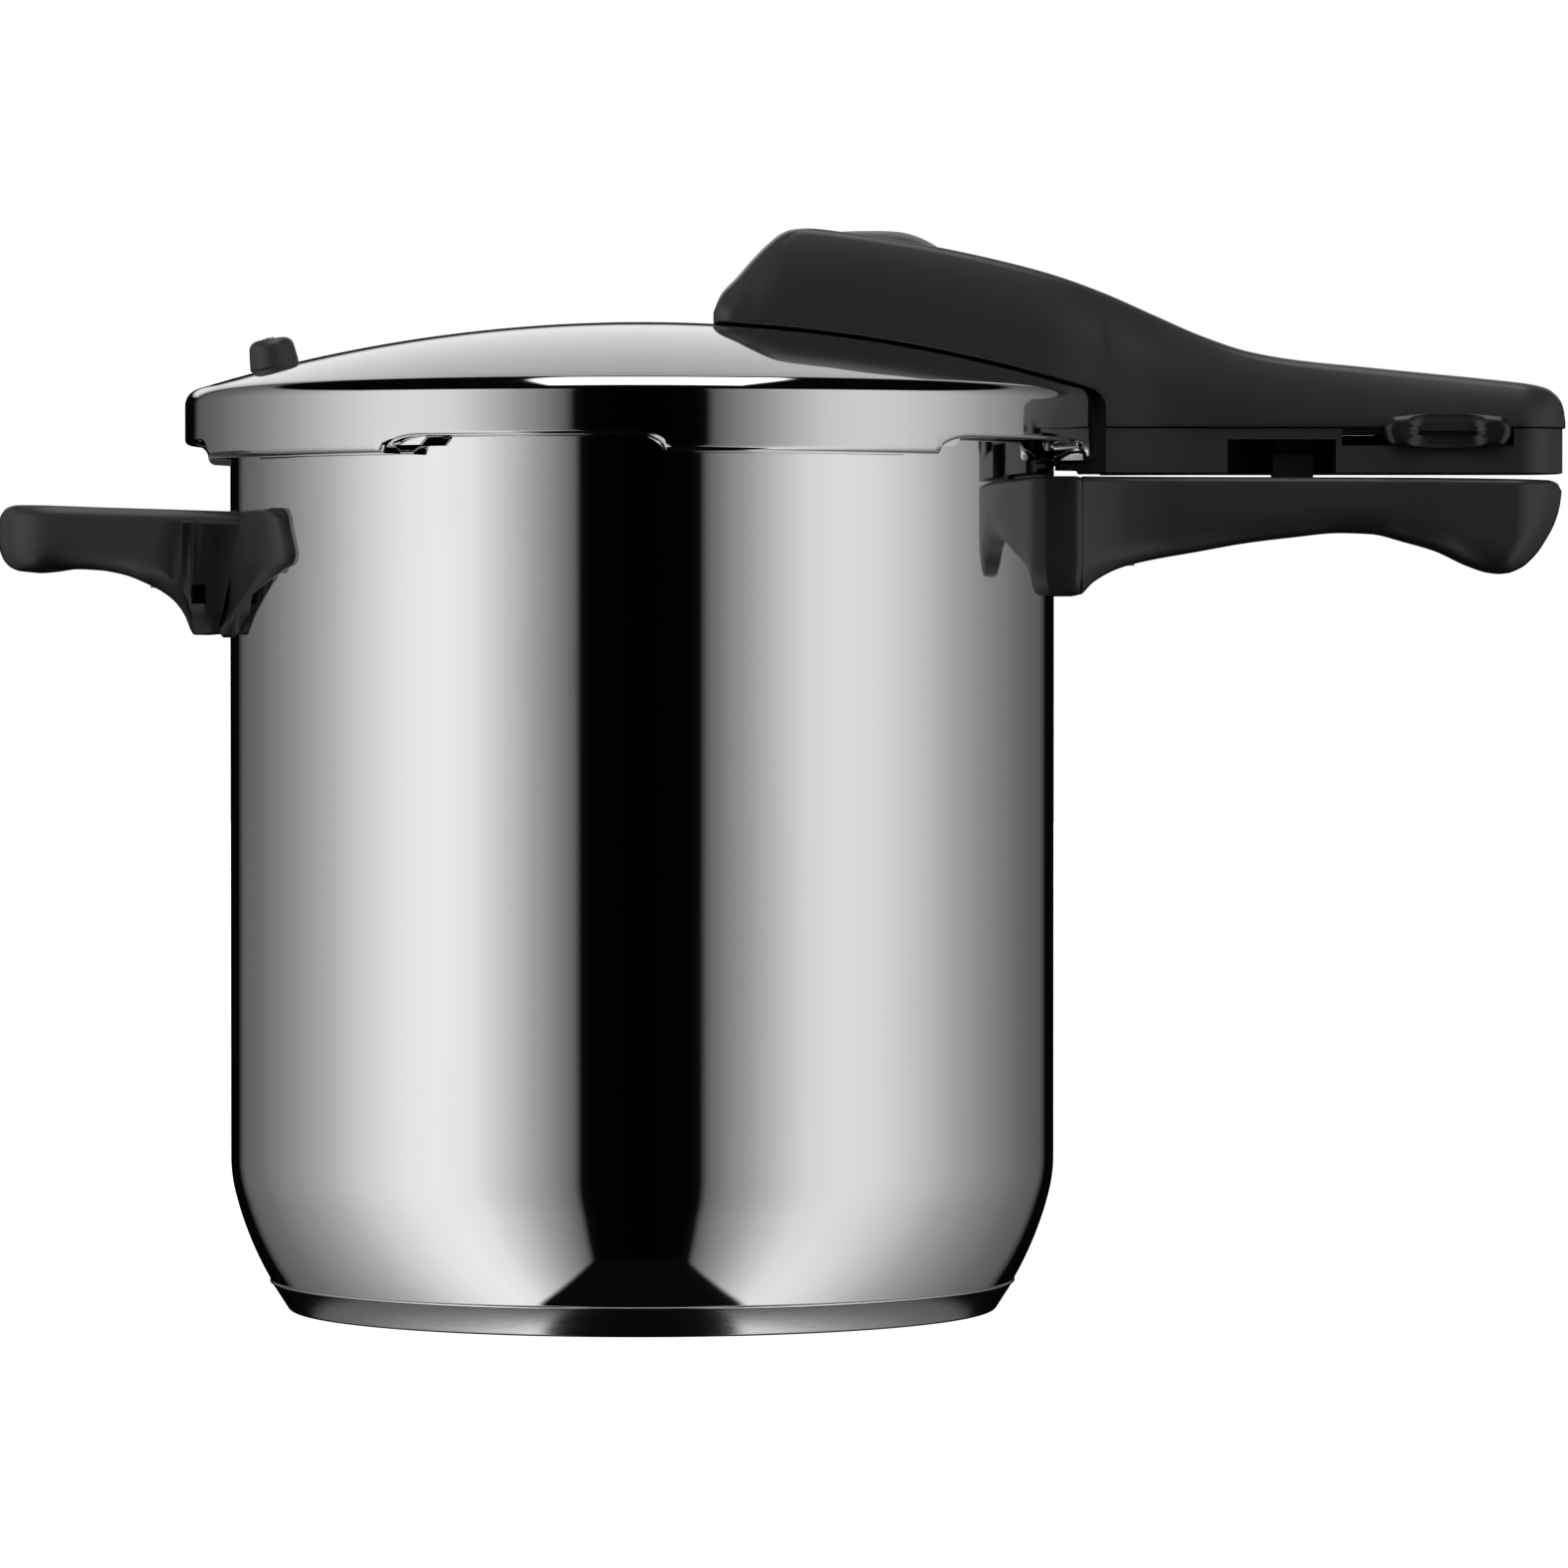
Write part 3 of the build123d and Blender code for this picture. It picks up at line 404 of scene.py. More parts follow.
class EffectLibrary:
    """Builds each shared effect once and places it in materials."""

    def __init__(self) -> None:
        """Start with no groups."""
        self.groups: dict[Effect, bpy.types.NodeTree] = {}

    def place(self, wires: Wires, effect: Effect, **values: float) -> bpy.types.Node:
        """Put an effect in a material.

        Args:
            wires: The material's tree.
            effect: Which effect.
            **values: Numbers for the group's named inputs.

        Returns:
            The group node.
        """
        if effect not in self.groups:
            self.groups[effect] = self.make(effect)
        node = wires.add("ShaderNodeGroup", node_tree=self.groups[effect])
        for key, value in values.items():
            node.inputs[key].default_value = value
        return node

    def make(self, effect: Effect) -> bpy.types.NodeTree:
        """Build one group's sockets and nodes."""
        tree = bpy.data.node_groups.new(effect.value, "ShaderNodeTree")
        wires = Wires(tree)
        builders: dict[Effect, Callable[[Wires], None]] = {
            Effect.GRAIN: self.grain,
            Effect.BRUSHING: self.brushing,
            Effect.HANDLING: self.handling,
            Effect.POLISH: self.polish,
        }
        builders[effect](wires)
        return tree

    @staticmethod
    def sockets(wires: Wires, inputs: dict[str, float], outputs: Iterable[str]
                ) -> tuple[bpy.types.Node, bpy.types.Node]:
        """Declare a group's named number sockets and add its end nodes."""
        for name, value in inputs.items():
            socket = wires.tree.interface.new_socket(name, in_out="INPUT", socket_type="NodeSocketFloat")
            socket.default_value = value
        for name in outputs:
            wires.tree.interface.new_socket(name, in_out="OUTPUT", socket_type="NodeSocketFloat")
        return wires.add("NodeGroupInput"), wires.add("NodeGroupOutput")

    def grain(self, wires: Wires) -> None:
        """Fine spark-eroded grain of a black moulding: height and roughness."""
        ends = self.sockets(wires, {"Scale": 2600.0, "Roughness": 0.4, "Variation": 0.08},
                            ("Height", "Roughness"))
        place = wires.add("ShaderNodeTexCoord").outputs["Object"]
        fine = wires.add("ShaderNodeTexNoise")
        wires.join(place, fine.inputs["Vector"])
        wires.join(ends[0].outputs["Scale"], fine.inputs["Scale"])
        fine.inputs["Detail"].default_value = 2.0
        broad = wires.noise(place, 38.0)
        swing = wires.calc("MULTIPLY", wires.calc("SUBTRACT", broad, 0.5), ends[0].outputs["Variation"])
        rough = wires.calc("ADD", ends[0].outputs["Roughness"], swing)
        wires.join(fine.outputs["Fac"], ends[1].inputs["Height"])
        wires.join(rough, ends[1].inputs["Roughness"])

    def brushing(self, wires: Wires) -> None:
        """Fine turned lines round the pot's axis: height, roughness and tone."""
        ends = self.sockets(wires, {"Lines": 5200.0, "Roughness": 0.26, "Variation": 0.1},
                            ("Height", "Roughness", "Tone"))
        place = wires.add("ShaderNodeTexCoord").outputs["Object"]
        axes = wires.add("ShaderNodeSeparateXYZ")
        wires.join(place, axes.inputs[0])
        turn = wires.calc("ARCTAN2", axes.outputs[1], axes.outputs[0])
        around = wires.calc("MULTIPLY", turn, 0.004)
        square = wires.calc("ADD", wires.calc("MULTIPLY", axes.outputs[0], axes.outputs[0]),
                            wires.calc("MULTIPLY", axes.outputs[1], axes.outputs[1]))
        reach = wires.calc("SQRT", square)
        spot = wires.add("ShaderNodeCombineXYZ")
        wires.join(around, spot.inputs[0])
        wires.join(reach, spot.inputs[1])
        wires.join(axes.outputs[2], spot.inputs[2])
        lines = wires.add("ShaderNodeTexNoise")
        wires.join(spot.outputs[0], lines.inputs["Vector"])
        wires.join(ends[0].outputs["Lines"], lines.inputs["Scale"])
        lines.inputs["Detail"].default_value = 3.0
        swing = wires.calc("SUBTRACT", lines.outputs["Fac"], 0.5)
        rough = wires.calc("ADD", ends[0].outputs["Roughness"],
                           wires.calc("MULTIPLY", swing, ends[0].outputs["Variation"]))
        wires.join(lines.outputs["Fac"], ends[1].inputs["Height"])
        wires.join(rough, ends[1].inputs["Roughness"])
        wires.join(wires.calc("ADD", 0.5, swing), ends[1].inputs["Tone"])

    def handling(self, wires: Wires) -> None:
        """Faint smears left by hands and a cloth: a mask from 0 to 1."""
        ends = self.sockets(wires, {"Scale": 9.0, "Amount": 1.0}, ("Mask",))
        place = wires.add("ShaderNodeTexCoord").outputs["Object"]
        smear = wires.add("ShaderNodeTexNoise")
        wires.join(place, smear.inputs["Vector"])
        wires.join(ends[0].outputs["Scale"], smear.inputs["Scale"])
        smear.inputs["Detail"].default_value = 4.0
        smear.inputs["Distortion"].default_value = 0.6
        mask = wires.remap(smear.outputs["Fac"], 0.48, 0.75)
        wires.join(wires.calc("MULTIPLY", mask, ends[0].outputs["Amount"]), ends[1].inputs["Mask"])

    def polish(self, wires: Wires) -> None:
        """Very fine lines that the polishing wheel leaves round the pot: a height."""
        ends = self.sockets(wires, {"Lines": 900.0}, ("Height",))
        place = wires.add("ShaderNodeTexCoord").outputs["Object"]
        stretch = wires.add("ShaderNodeMapping")
        wires.join(place, stretch.inputs["Vector"])
        stretch.inputs["Scale"].default_value = (0.02, 0.02, 1.0)
        lines = wires.add("ShaderNodeTexNoise")
        wires.join(stretch.outputs[0], lines.inputs["Vector"])
        wires.join(ends[0].outputs["Lines"], lines.inputs["Scale"])
        lines.inputs["Detail"].default_value = 2.0
        wires.join(lines.outputs["Fac"], ends[1].inputs["Height"])


EFFECTS = EffectLibrary()


@dataclass(frozen=True)
class Finish:
    """Common ground of the finishes: a name and how a material starts."""

    name: str

    def start(self) -> tuple[bpy.types.Material, Wires, bpy.types.Node]:
        """A new material with its wires and its Principled shader."""
        material = bpy.data.materials.new(self.name)
        material.use_nodes = True
        wires = Wires(material.node_tree)
        shader = material.node_tree.nodes["Principled BSDF"]
        return material, wires, shader

    def bump(self, wires: Wires, shader: bpy.types.Node, height: bpy.types.NodeSocket,
             strength: float, distance: float) -> None:
        """Feed a height to the shader's normal."""
        node = wires.add("ShaderNodeBump")
        node.inputs["Strength"].default_value = strength
        node.inputs["Distance"].default_value = distance
        wires.join(height, node.inputs["Height"])
        wires.join(node.outputs["Normal"], shader.inputs["Normal"])


@dataclass(frozen=True)
class PolishedSteel(Finish):
    """Mirror-polished stainless steel with faint cloth marks.

    Below satin_below the steel is only fine-ground, as on the lid's rim.
    """

    tone: float = 0.8
    rough: float = 0.035
    smear: float = 0.03
    satin_below: float = -1.0
    satin_tone: float = 0.8
    satin_rough: float = 0.1

    def make(self) -> bpy.types.Material:
        """Build the material."""
        material, wires, shader = self.start()
        shader.inputs["Metallic"].default_value = 1.0
        marks = EFFECTS.place(wires, Effect.HANDLING, Scale=9.0, Amount=1.0)
        lines = EFFECTS.place(wires, Effect.POLISH, Lines=900.0)
        colour = wires.blend(marks.outputs["Mask"], grey(self.tone), grey(self.tone * 0.965))
        rough = wires.calc("ADD", self.rough, wires.calc("MULTIPLY", marks.outputs["Mask"], self.smear))
        if self.satin_below > 0:
            axes = wires.add("ShaderNodeSeparateXYZ")
            wires.join(wires.add("ShaderNodeTexCoord").outputs["Object"], axes.inputs[0])
            low = wires.remap(axes.outputs[2], self.satin_below + 0.0006, self.satin_below - 0.0006)
            colour = wires.blend(low, colour, grey(self.satin_tone))
            rough = wires.calc("ADD", rough, wires.calc("MULTIPLY", low, self.satin_rough))
        wires.join(colour, shader.inputs["Base Color"])
        wires.join(rough, shader.inputs["Roughness"])
        self.bump(wires, shader, lines.outputs["Height"], 0.05, 0.00002)
        return material


@dataclass(frozen=True)
class BrushedSteel(Finish):
    """Turned steel with fine lines round the axis."""

    tone: float = 0.78
    rough: float = 0.13
    depth: float = 0.12

    def make(self) -> bpy.types.Material:
        """Build the material."""
        material, wires, shader = self.start()
        shader.inputs["Metallic"].default_value = 1.0
        lines = EFFECTS.place(wires, Effect.BRUSHING, Lines=5200.0, Roughness=self.rough, Variation=0.1)
        colour = wires.blend(lines.outputs["Tone"], grey(self.tone * 0.72), grey(self.tone * 1.2))
        wires.join(colour, shader.inputs["Base Color"])
        wires.join(lines.outputs["Roughness"], shader.inputs["Roughness"])
        self.bump(wires, shader, lines.outputs["Height"], self.depth, 0.00006)
        return material


@dataclass(frozen=True)
class PlainMetal(Finish):
    """Stamped, turned or drawn metal of the inner pieces."""

    colour: tuple[float, float, float] = (0.6, 0.6, 0.61)
    rough: float = 0.3

    def make(self) -> bpy.types.Material:
        """Build the material."""
        material, wires, shader = self.start()
        shader.inputs["Metallic"].default_value = 1.0
        marks = EFFECTS.place(wires, Effect.HANDLING, Scale=140.0, Amount=1.0)
        grain = EFFECTS.place(wires, Effect.GRAIN, Scale=1800.0, Roughness=self.rough, Variation=0.2)
        dull = tuple(c * 0.82 for c in self.colour) + (1.0,)
        colour = wires.blend(marks.outputs["Mask"], self.colour + (1.0,), dull)
        wires.join(colour, shader.inputs["Base Color"])
        wires.join(grain.outputs["Roughness"], shader.inputs["Roughness"])
        self.bump(wires, shader, grain.outputs["Height"], 0.12, 0.00005)
        return material


@dataclass(frozen=True)
class Moulding(Finish):
    """Plastic, rubber or silicone with a fine moulded grain."""

    colour: tuple[float, float, float] = (0.036, 0.036, 0.0365)
    rough: float = 0.32
    depth: float = 0.22
    scale: float = 2600.0
    worn: tuple[float, float, float] = (0.041, 0.041, 0.0415)

    def make(self) -> bpy.types.Material:
        """Build the material."""
        material, wires, shader = self.start()
        grain = EFFECTS.place(wires, Effect.GRAIN, Scale=self.scale, Roughness=self.rough, Variation=0.1)
        marks = EFFECTS.place(wires, Effect.HANDLING, Scale=26.0, Amount=0.8)
        colour = wires.blend(marks.outputs["Mask"], self.colour + (1.0,), self.worn + (1.0,))
        wires.join(colour, shader.inputs["Base Color"])
        wires.join(grain.outputs["Roughness"], shader.inputs["Roughness"])
        self.bump(wires, shader, grain.outputs["Height"], self.depth, 0.00006)
        return material


@dataclass(frozen=True)
class IndicatorRod(Finish):
    """Black rod with two coloured rings that show as it rises."""

    low_ring: Point2 = (0.2825, 0.2845)
    high_ring: Point2 = (0.2862, 0.2882)

    def make(self) -> bpy.types.Material:
        """Build the material."""
        material, wires, shader = self.start()
        grain = EFFECTS.place(wires, Effect.GRAIN, Scale=2600.0, Roughness=0.35, Variation=0.1)
        place = wires.add("ShaderNodeTexCoord").outputs["Object"]
        axes = wires.add("ShaderNodeSeparateXYZ")
        wires.join(place, axes.inputs[0])
        height = axes.outputs[2]
        colour: object = grey(0.014)
        paints = (((0.75, 0.28, 0.02, 1.0), self.low_ring), ((0.04, 0.35, 0.07, 1.0), self.high_ring))
        for paint, (low, high) in paints:
            above = wires.calc("GREATER_THAN", height, low)
            below = wires.calc("LESS_THAN", height, high)
            colour = wires.blend(wires.calc("MULTIPLY", above, below), colour, paint)
        wires.join(colour, shader.inputs["Base Color"])
        wires.join(grain.outputs["Roughness"], shader.inputs["Roughness"])
        self.bump(wires, shader, grain.outputs["Height"], 0.08, 0.00004)
        return material


@dataclass
class Wardrobe:
    """Every finish of the cooker, made once."""

    materials: dict[Slot, bpy.types.Material] = field(default_factory=dict)

    def fill(self) -> None:
        """Make a material for each slot."""
        finishes = {
            Slot.POLISHED: PolishedSteel("polished_steel_finish"),
            Slot.BRUSHED: BrushedSteel("brushed_steel_finish"),
            Slot.CORE: PlainMetal("core_aluminium_finish", (0.62, 0.63, 0.65), 0.4),
            Slot.BRACKET: PlainMetal("bracket_steel_finish", (0.5, 0.5, 0.51), 0.38),
            Slot.SCREW: PlainMetal("screw_steel_finish", (0.62, 0.62, 0.64), 0.24),
            Slot.SPRING: PlainMetal("spring_steel_finish", (0.45, 0.45, 0.47), 0.3),
            Slot.BRASS: PlainMetal("socket_brass_finish", (0.62, 0.45, 0.2), 0.28),
            Slot.SATIN_BLACK: Moulding("satin_black_finish"),
            Slot.GLOSS_BLACK: Moulding("gloss_black_finish", colour=grey(0.016)[:3], rough=0.24, depth=0.08),
            Slot.RUBBER: Moulding("black_rubber_finish", rough=0.36, depth=0.16, scale=3600.0),
            Slot.SILICONE: Moulding("grey_silicone_finish", (0.24, 0.245, 0.25), 0.5, 0.2,
                                    worn=(0.2, 0.205, 0.21)),
            Slot.INDICATOR: IndicatorRod("indicator_rod_finish"),
        }
        for slot, finish in finishes.items():
            self.materials[slot] = finish.make()

    def dress(self, piece: bpy.types.Object, slot: Slot) -> None:
        """Give a piece one finish."""
        piece.data.materials.clear()
        piece.data.materials.append(self.materials[slot])

    def dress_frame(self) -> None:
        """Give each carried-over node of the frame its slot's finish."""
        for part in frame["record"]["subparts"]:
            piece = bpy.data.objects.get(part["node"])
            if piece is None:
                continue
            for holder in piece.material_slots:
                holder.material = self.materials[Slot(part["material_slot"])]


WARDROBE = Wardrobe()


def hand_over(piece: bpy.types.Object, body: Body, slot: Slot, *nodes: str) -> bpy.types.Object:
    """Dress a finished piece, let it ride on its body and stand for its nodes.

    Args:
        piece: The new piece.
        body: The body that it moves with.
        slot: The record's material slot that it takes its finish from.
        *nodes: The frame's nodes that it stands for.

    Returns:
        The same piece.
    """
    WARDROBE.dress(piece, slot)
    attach(piece, body.value)
    if nodes:
        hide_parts(*nodes)
    log.info("%s rides on %s, %d faces", piece.name, body.value, len(piece.data.polygons))
    return piece


# ---------------------------------------------------------------------------
# The pot
# ---------------------------------------------------------------------------


@dataclass(frozen=True)
class Bayonet:
    """The ring of lugs that holds the lid down."""

    count: int = 5
    pot_span: float = 32.0
    pot_first: float = -133.0
    gap_span: float = 36.0
    gap_first: float = -104.15

    def azimuths(self, first: float) -> list[float]:
        """Middles of the lugs or gaps in degrees."""
        return [first + 360.0 / self.count * i for i in range(self.count)]


BAYONET = Bayonet()


@dataclass(frozen=True)
class Pot:
    """The drawn steel pot and its capsule base."""

    radius: float = 111.0 * MM
    wall: float = 1.0 * MM
    knee_z: float = 41.5 * MM
    knee_r: float = 40.0 * MM
    knee_turn: float = 14.0
    foot_r: float = 91.0 * MM
    foot_turn: float = 16.0
    floor_z: float = 9.55 * MM
    rim_z: float = 236.0 * MM
    bead_r: float = 1.1 * MM
    lug_r: float = 118.5 * MM
    lug_t: float = 1.4 * MM
    lug_low: float = 230.4 * MM
    segments: int = 256

    @property
    def foot_centre(self) -> Point2:
        """Middle of the foot's arc, as (radius, height)."""
        drop = self.knee_r * math.sin(math.radians(self.knee_turn))
        lean = math.radians(self.knee_turn)
        edge_r = self.radius - self.knee_r * (1 - math.cos(lean))
        return edge_r - self.foot_r * math.cos(lean), self.knee_z - drop + self.foot_r * math.sin(lean)

    @property
    def joint(self) -> Point2:
        """Joint line between wall and base, as (radius, height)."""
        lean = math.radians(self.knee_turn + self.foot_turn)
        centre = self.foot_centre
        return centre[0] + self.foot_r * math.cos(lean), centre[1] - self.foot_r * math.sin(lean)

    def turned_wall(self, inset: float) -> list[Point2]:
        """The wall's outline from the joint line up to the knee, moved inwards by an inset."""
        centre = self.foot_centre
        total = self.knee_turn + self.foot_turn
        foot = arc_points(centre, self.foot_r - inset, -total, -self.knee_turn, 22)
        knee_centre = (self.radius - self.knee_r, self.knee_z)
        knee = arc_points(knee_centre, self.knee_r - inset, -self.knee_turn, 0, 14)
        return foot + knee[1:]

    def build_shell(self) -> None:
        """Wall, floor and rolled rim, spun in one piece, with the five lugs."""
        outer = self.turned_wall(0.0)
        inner = [p for p in self.turned_wall(self.wall) if p[1] > self.floor_z]
        corner = arc_points((inner[0][0] - 4.0 * MM, self.floor_z + 4.0 * MM), 4.0 * MM, -90, -35, 6)
        bead_z = self.rim_z - self.bead_r
        bead = arc_points((self.radius + self.bead_r, bead_z), self.bead_r, -90, 90, 10)
        lip = arc_points((self.radius + 0.2 * MM, self.rim_z - 1.2 * MM), 1.2 * MM, 90, 180, 6)
        profile = [(1e-5, self.joint[1])] + outer
        profile += [(self.radius, z * MM) for z in (80, 120, 160, 200, 228)]
        profile += [(self.radius, self.rim_z - 2.6 * MM), (self.radius + 0.5 * MM, self.rim_z - 2.2 * MM)]
        profile += bead + lip[1:]
        profile += [(self.radius - self.wall, z * MM) for z in (200, 160, 120, 80)]
        profile += list(reversed(inner[4:])) + list(reversed(corner))
        profile += [(1e-5, self.floor_z)]
        shell = lathe("pot_shell", profile, self.segments, closed=False)
        shell = hand_over(shell, Body.POT, Slot.POLISHED, "pot_body")
        for i, azimuth in enumerate(BAYONET.azimuths(BAYONET.pot_first)):
            self.build_lug(i, azimuth)

    def build_lug(self, number: int, azimuth: float) -> None:
        """One bayonet lug: a flange that turns down at its outer edge."""
        bend = 1.4 * MM
        outer = [(self.radius, self.rim_z)]
        outer += arc_points((self.lug_r - bend, self.rim_z - bend), bend, 90, 0, 6)
        outer += [(self.lug_r, self.lug_low)]
        inner = [(self.lug_r - self.lug_t, self.lug_low)]
        inner += [(self.lug_r - self.lug_t, self.rim_z - self.lug_t), (self.radius, self.rim_z - self.lug_t)]
        ring = outer + inner
        steps = 36
        sections = []
        for i in range(steps + 1):
            part = i / steps
            turn = math.radians(azimuth + BAYONET.pot_span * (part - 0.5))
            from_end = min(part, 1 - part) * math.radians(BAYONET.pot_span) * self.lug_r
            trim = 1.8 * MM * (1 - math.sqrt(1 - (1 - min(from_end / (1.8 * MM), 1.0)) ** 2))
            section = []
            for r, z in ring:
                lifted = max(z, self.lug_low + trim) if z < self.rim_z - self.lug_t else z
                section.append((r * math.cos(turn), r * math.sin(turn), lifted))
            sections.append(section)
        lug = loft(f"pot_rim_lug_{number + 1}", sections)
        hand_over(lug, Body.POT, Slot.POLISHED)
        for end in (-1, 1):
            self.build_lug_end(number, azimuth, end)

    def build_lug_end(self, number: int, azimuth: float, end: int) -> None:
        """Web that closes one end of a lug back to the pot's wall."""
        thick = math.degrees(1.2 * MM / self.lug_r)
        half = BAYONET.pot_span / 2
        inner_r = self.radius - 0.4 * MM
        outer_r = self.lug_r - 0.5 * MM
        low = self.lug_low + 0.8 * MM
        high = self.rim_z - 0.6 * MM
        ring = ((inner_r, low), (outer_r, low), (outer_r, high), (inner_r, high))
        sections = []
        for offset in (half - 0.55, half - 0.55 - thick):
            turn = math.radians(azimuth + end * offset)
            sections.append([(r * math.cos(turn), r * math.sin(turn), z) for r, z in ring])
        web = loft(f"pot_rim_lug_{number + 1}_{'left' if end < 0 else 'right'}_web", sections)
        hand_over(web, Body.POT, Slot.POLISHED)

    def build_base(self) -> None:
        """Brushed steel cap with a thin bright bead where it meets the wall."""
        joint_r, joint_z = self.joint
        foot_r = 94.4 * MM
        corner = arc_points((foot_r, 1.6 * MM), 1.6 * MM, -90, -32, 6)
        bead = arc_points((joint_r - 0.1 * MM, joint_z - 0.42 * MM), 0.38 * MM, -60, 90, 8)
        profile = [(1e-5, 0.0), (60 * MM, 0.0), (88 * MM, 0.0), (89 * MM, 0.25 * MM), (90 * MM, 0.0)]
        profile += corner
        profile += [(joint_r - 0.3 * MM, joint_z - 0.95 * MM)] + bead
        profile += [(joint_r - 1.0 * MM, joint_z - 0.07 * MM), (foot_r, 1.2 * MM), (1e-5, 1.2 * MM)]
        cap = lathe("base_cap_turned", profile, self.segments, closed=False, sharp_deg=40)
        hand_over(cap, Body.POT, Slot.BRUSHED, "base_cap")


# ---------------------------------------------------------------------------
# The lid
# ---------------------------------------------------------------------------


@dataclass(frozen=True)
class Lid:
    """The pressed steel lid: dome, shoulder, rim and turned-in lugs."""

    radius: float = 123.1 * MM
    sheet: float = 1.2 * MM
    dome_r: float = 403.0 * MM
    top_z: float = 265.8 * MM
    shoulder: float = 4.5 * MM
    lug_z: float = 228.2 * MM
    lug_in: float = 114.0 * MM
    gap_z: float = 232.7 * MM
    gap_in: float = 120.2 * MM
    lead_in: float = 11.5 * MM
    lead_out: float = 7.5 * MM
    curl: float = 2.2 * MM

    @property
    def centre_z(self) -> float:
        """Height of the dome's middle."""
        return self.top_z - self.dome_r

    def dome_z(self, reach: float, offset: float = 0.0) -> float:
        """Height of the dome, grown by an offset, at a distance from the axis."""
        return self.centre_z + math.sqrt((self.dome_r + offset) ** 2 - reach**2)

    def drop(self, azimuth: float) -> float:
        """How far the rim's edge is down towards the lug level: 0 in a gap, 1 on a lug."""
        pitch = 360.0 / BAYONET.count
        offset = (azimuth - BAYONET.gap_first + pitch / 2) % pitch - pitch / 2
        half = BAYONET.gap_span / 2
        if abs(offset) >= half:
            return 1.0
        arc = math.radians(half - abs(offset)) * self.radius
        run = self.lead_in if offset < 0 else self.lead_out
        t = min(arc / run, 1.0)
        return 1.0 - math.sqrt(1.0 - (1.0 - t) ** 2)

    def section(self, azimuth: float) -> list[Point2]:
        """The sheet's closed section at an azimuth, as (radius, height) points."""
        part = self.drop(azimuth)
        edge_z = self.gap_z + (self.lug_z - self.gap_z) * part
        inner_edge = self.gap_in + (self.lug_in - self.gap_in) * smoothstep(part, 0.35, 1.0)
        curl = 1.35 * MM + (self.curl - 1.35 * MM) * part
        lean = math.asin((self.radius - self.shoulder) / (self.dome_r - self.shoulder))
        shoulder_c = (self.radius - self.shoulder,
                      self.centre_z + (self.dome_r - self.shoulder) * math.cos(lean))

        def side(inset: float) -> list[Point2]:
            """Dome, shoulder, wall and curl of one face of the sheet."""
            top = [(max((self.dome_r - inset) * math.sin(lean * i / 26), 1e-5),
                    self.centre_z + (self.dome_r - inset) * math.cos(lean * i / 26)) for i in range(27)]
            bend = arc_points(shoulder_c, self.shoulder - inset, 90 - math.degrees(lean), 0, 12)
            wall_r = self.radius - inset
            low = edge_z + curl
            wall = [(wall_r, shoulder_c[1] + (low - shoulder_c[1]) * k / 4) for k in (1, 2, 3)]
            roll = arc_points((self.radius - curl, low), max(curl - inset, 0.1 * MM), 0, -90, 8)
            return top + bend[1:] + wall + roll

        outer = side(0.0)
        inner = side(self.sheet)
        nose_r = self.sheet / 2
        nose = arc_points((inner_edge + nose_r, edge_z + nose_r), nose_r, -90, -270, 5)
        return outer + nose + list(reversed(inner))

    def build_shell(self) -> None:
        """Sweep the section round the axis, finely where the rim's edge changes height."""
        azimuths = []
        pitch = 360.0 / BAYONET.count
        half = BAYONET.gap_span / 2
        for middle in BAYONET.azimuths(BAYONET.gap_first):
            start = middle - half
            offsets = spread([0.0, 0.4, 2.0, 6.5], 0.22)
            offsets += spread([8.5, BAYONET.gap_span - 6.0], 2.0)
            offsets += spread([BAYONET.gap_span - 4.5, BAYONET.gap_span - 1.0, BAYONET.gap_span], 0.22)
            offsets += spread([BAYONET.gap_span + 1.0, pitch - 1.0], 1.5)
            azimuths += [start + offset for offset in offsets]
        verts = []
        for azimuth in azimuths:
            turn = math.radians(azimuth)
            verts += [(r * math.cos(turn), r * math.sin(turn), z) for r, z in self.section(azimuth)]
        count = len(self.section(0.0))
        faces = grid_faces(len(azimuths), count, True, False)
        shell = new_object("lid_pressing", verts, faces, 50)
        hand_over(shell, Body.LID, Slot.POLISHED, "lid_shell")
        rim = PolishedSteel("lid_steel_finish", satin_below=0.2462, satin_tone=0.68, satin_rough=0.015)
        shell.data.materials[0] = rim.make()

    def build_safety_knob(self) -> None:
        """Rubber relief plug: a rounded knob that stands square on the dome."""
        place_x = -99.0 * MM
        profile = [(0.0016, 0.0), (0.0062, 0.0)]
        profile += arc_points((0.0058, 0.0014), 0.0009, -60, 30, 4)
        profile += [(0.00655, 0.0026), (0.0063, 0.0048)]
        profile += arc_points((0.0035, 0.0062), 0.0026, 5, 88, 8)
        profile += [(0.0016, 0.00885)]
        knob = lathe("safety_knob", profile, 64)
        lean = 0.65 * math.asin(place_x / self.dome_r)
        sunk = 0.6 * MM
        place = Matrix.Translation((place_x, 0.0, self.dome_z(place_x) - sunk))
        knob.data.transform(place @ Matrix.Rotation(lean, 4, "Y"))
        hand_over(knob, Body.LID, Slot.RUBBER, "safety_valve")


LID = Lid()


# ---------------------------------------------------------------------------
# The lid handle
# ---------------------------------------------------------------------------


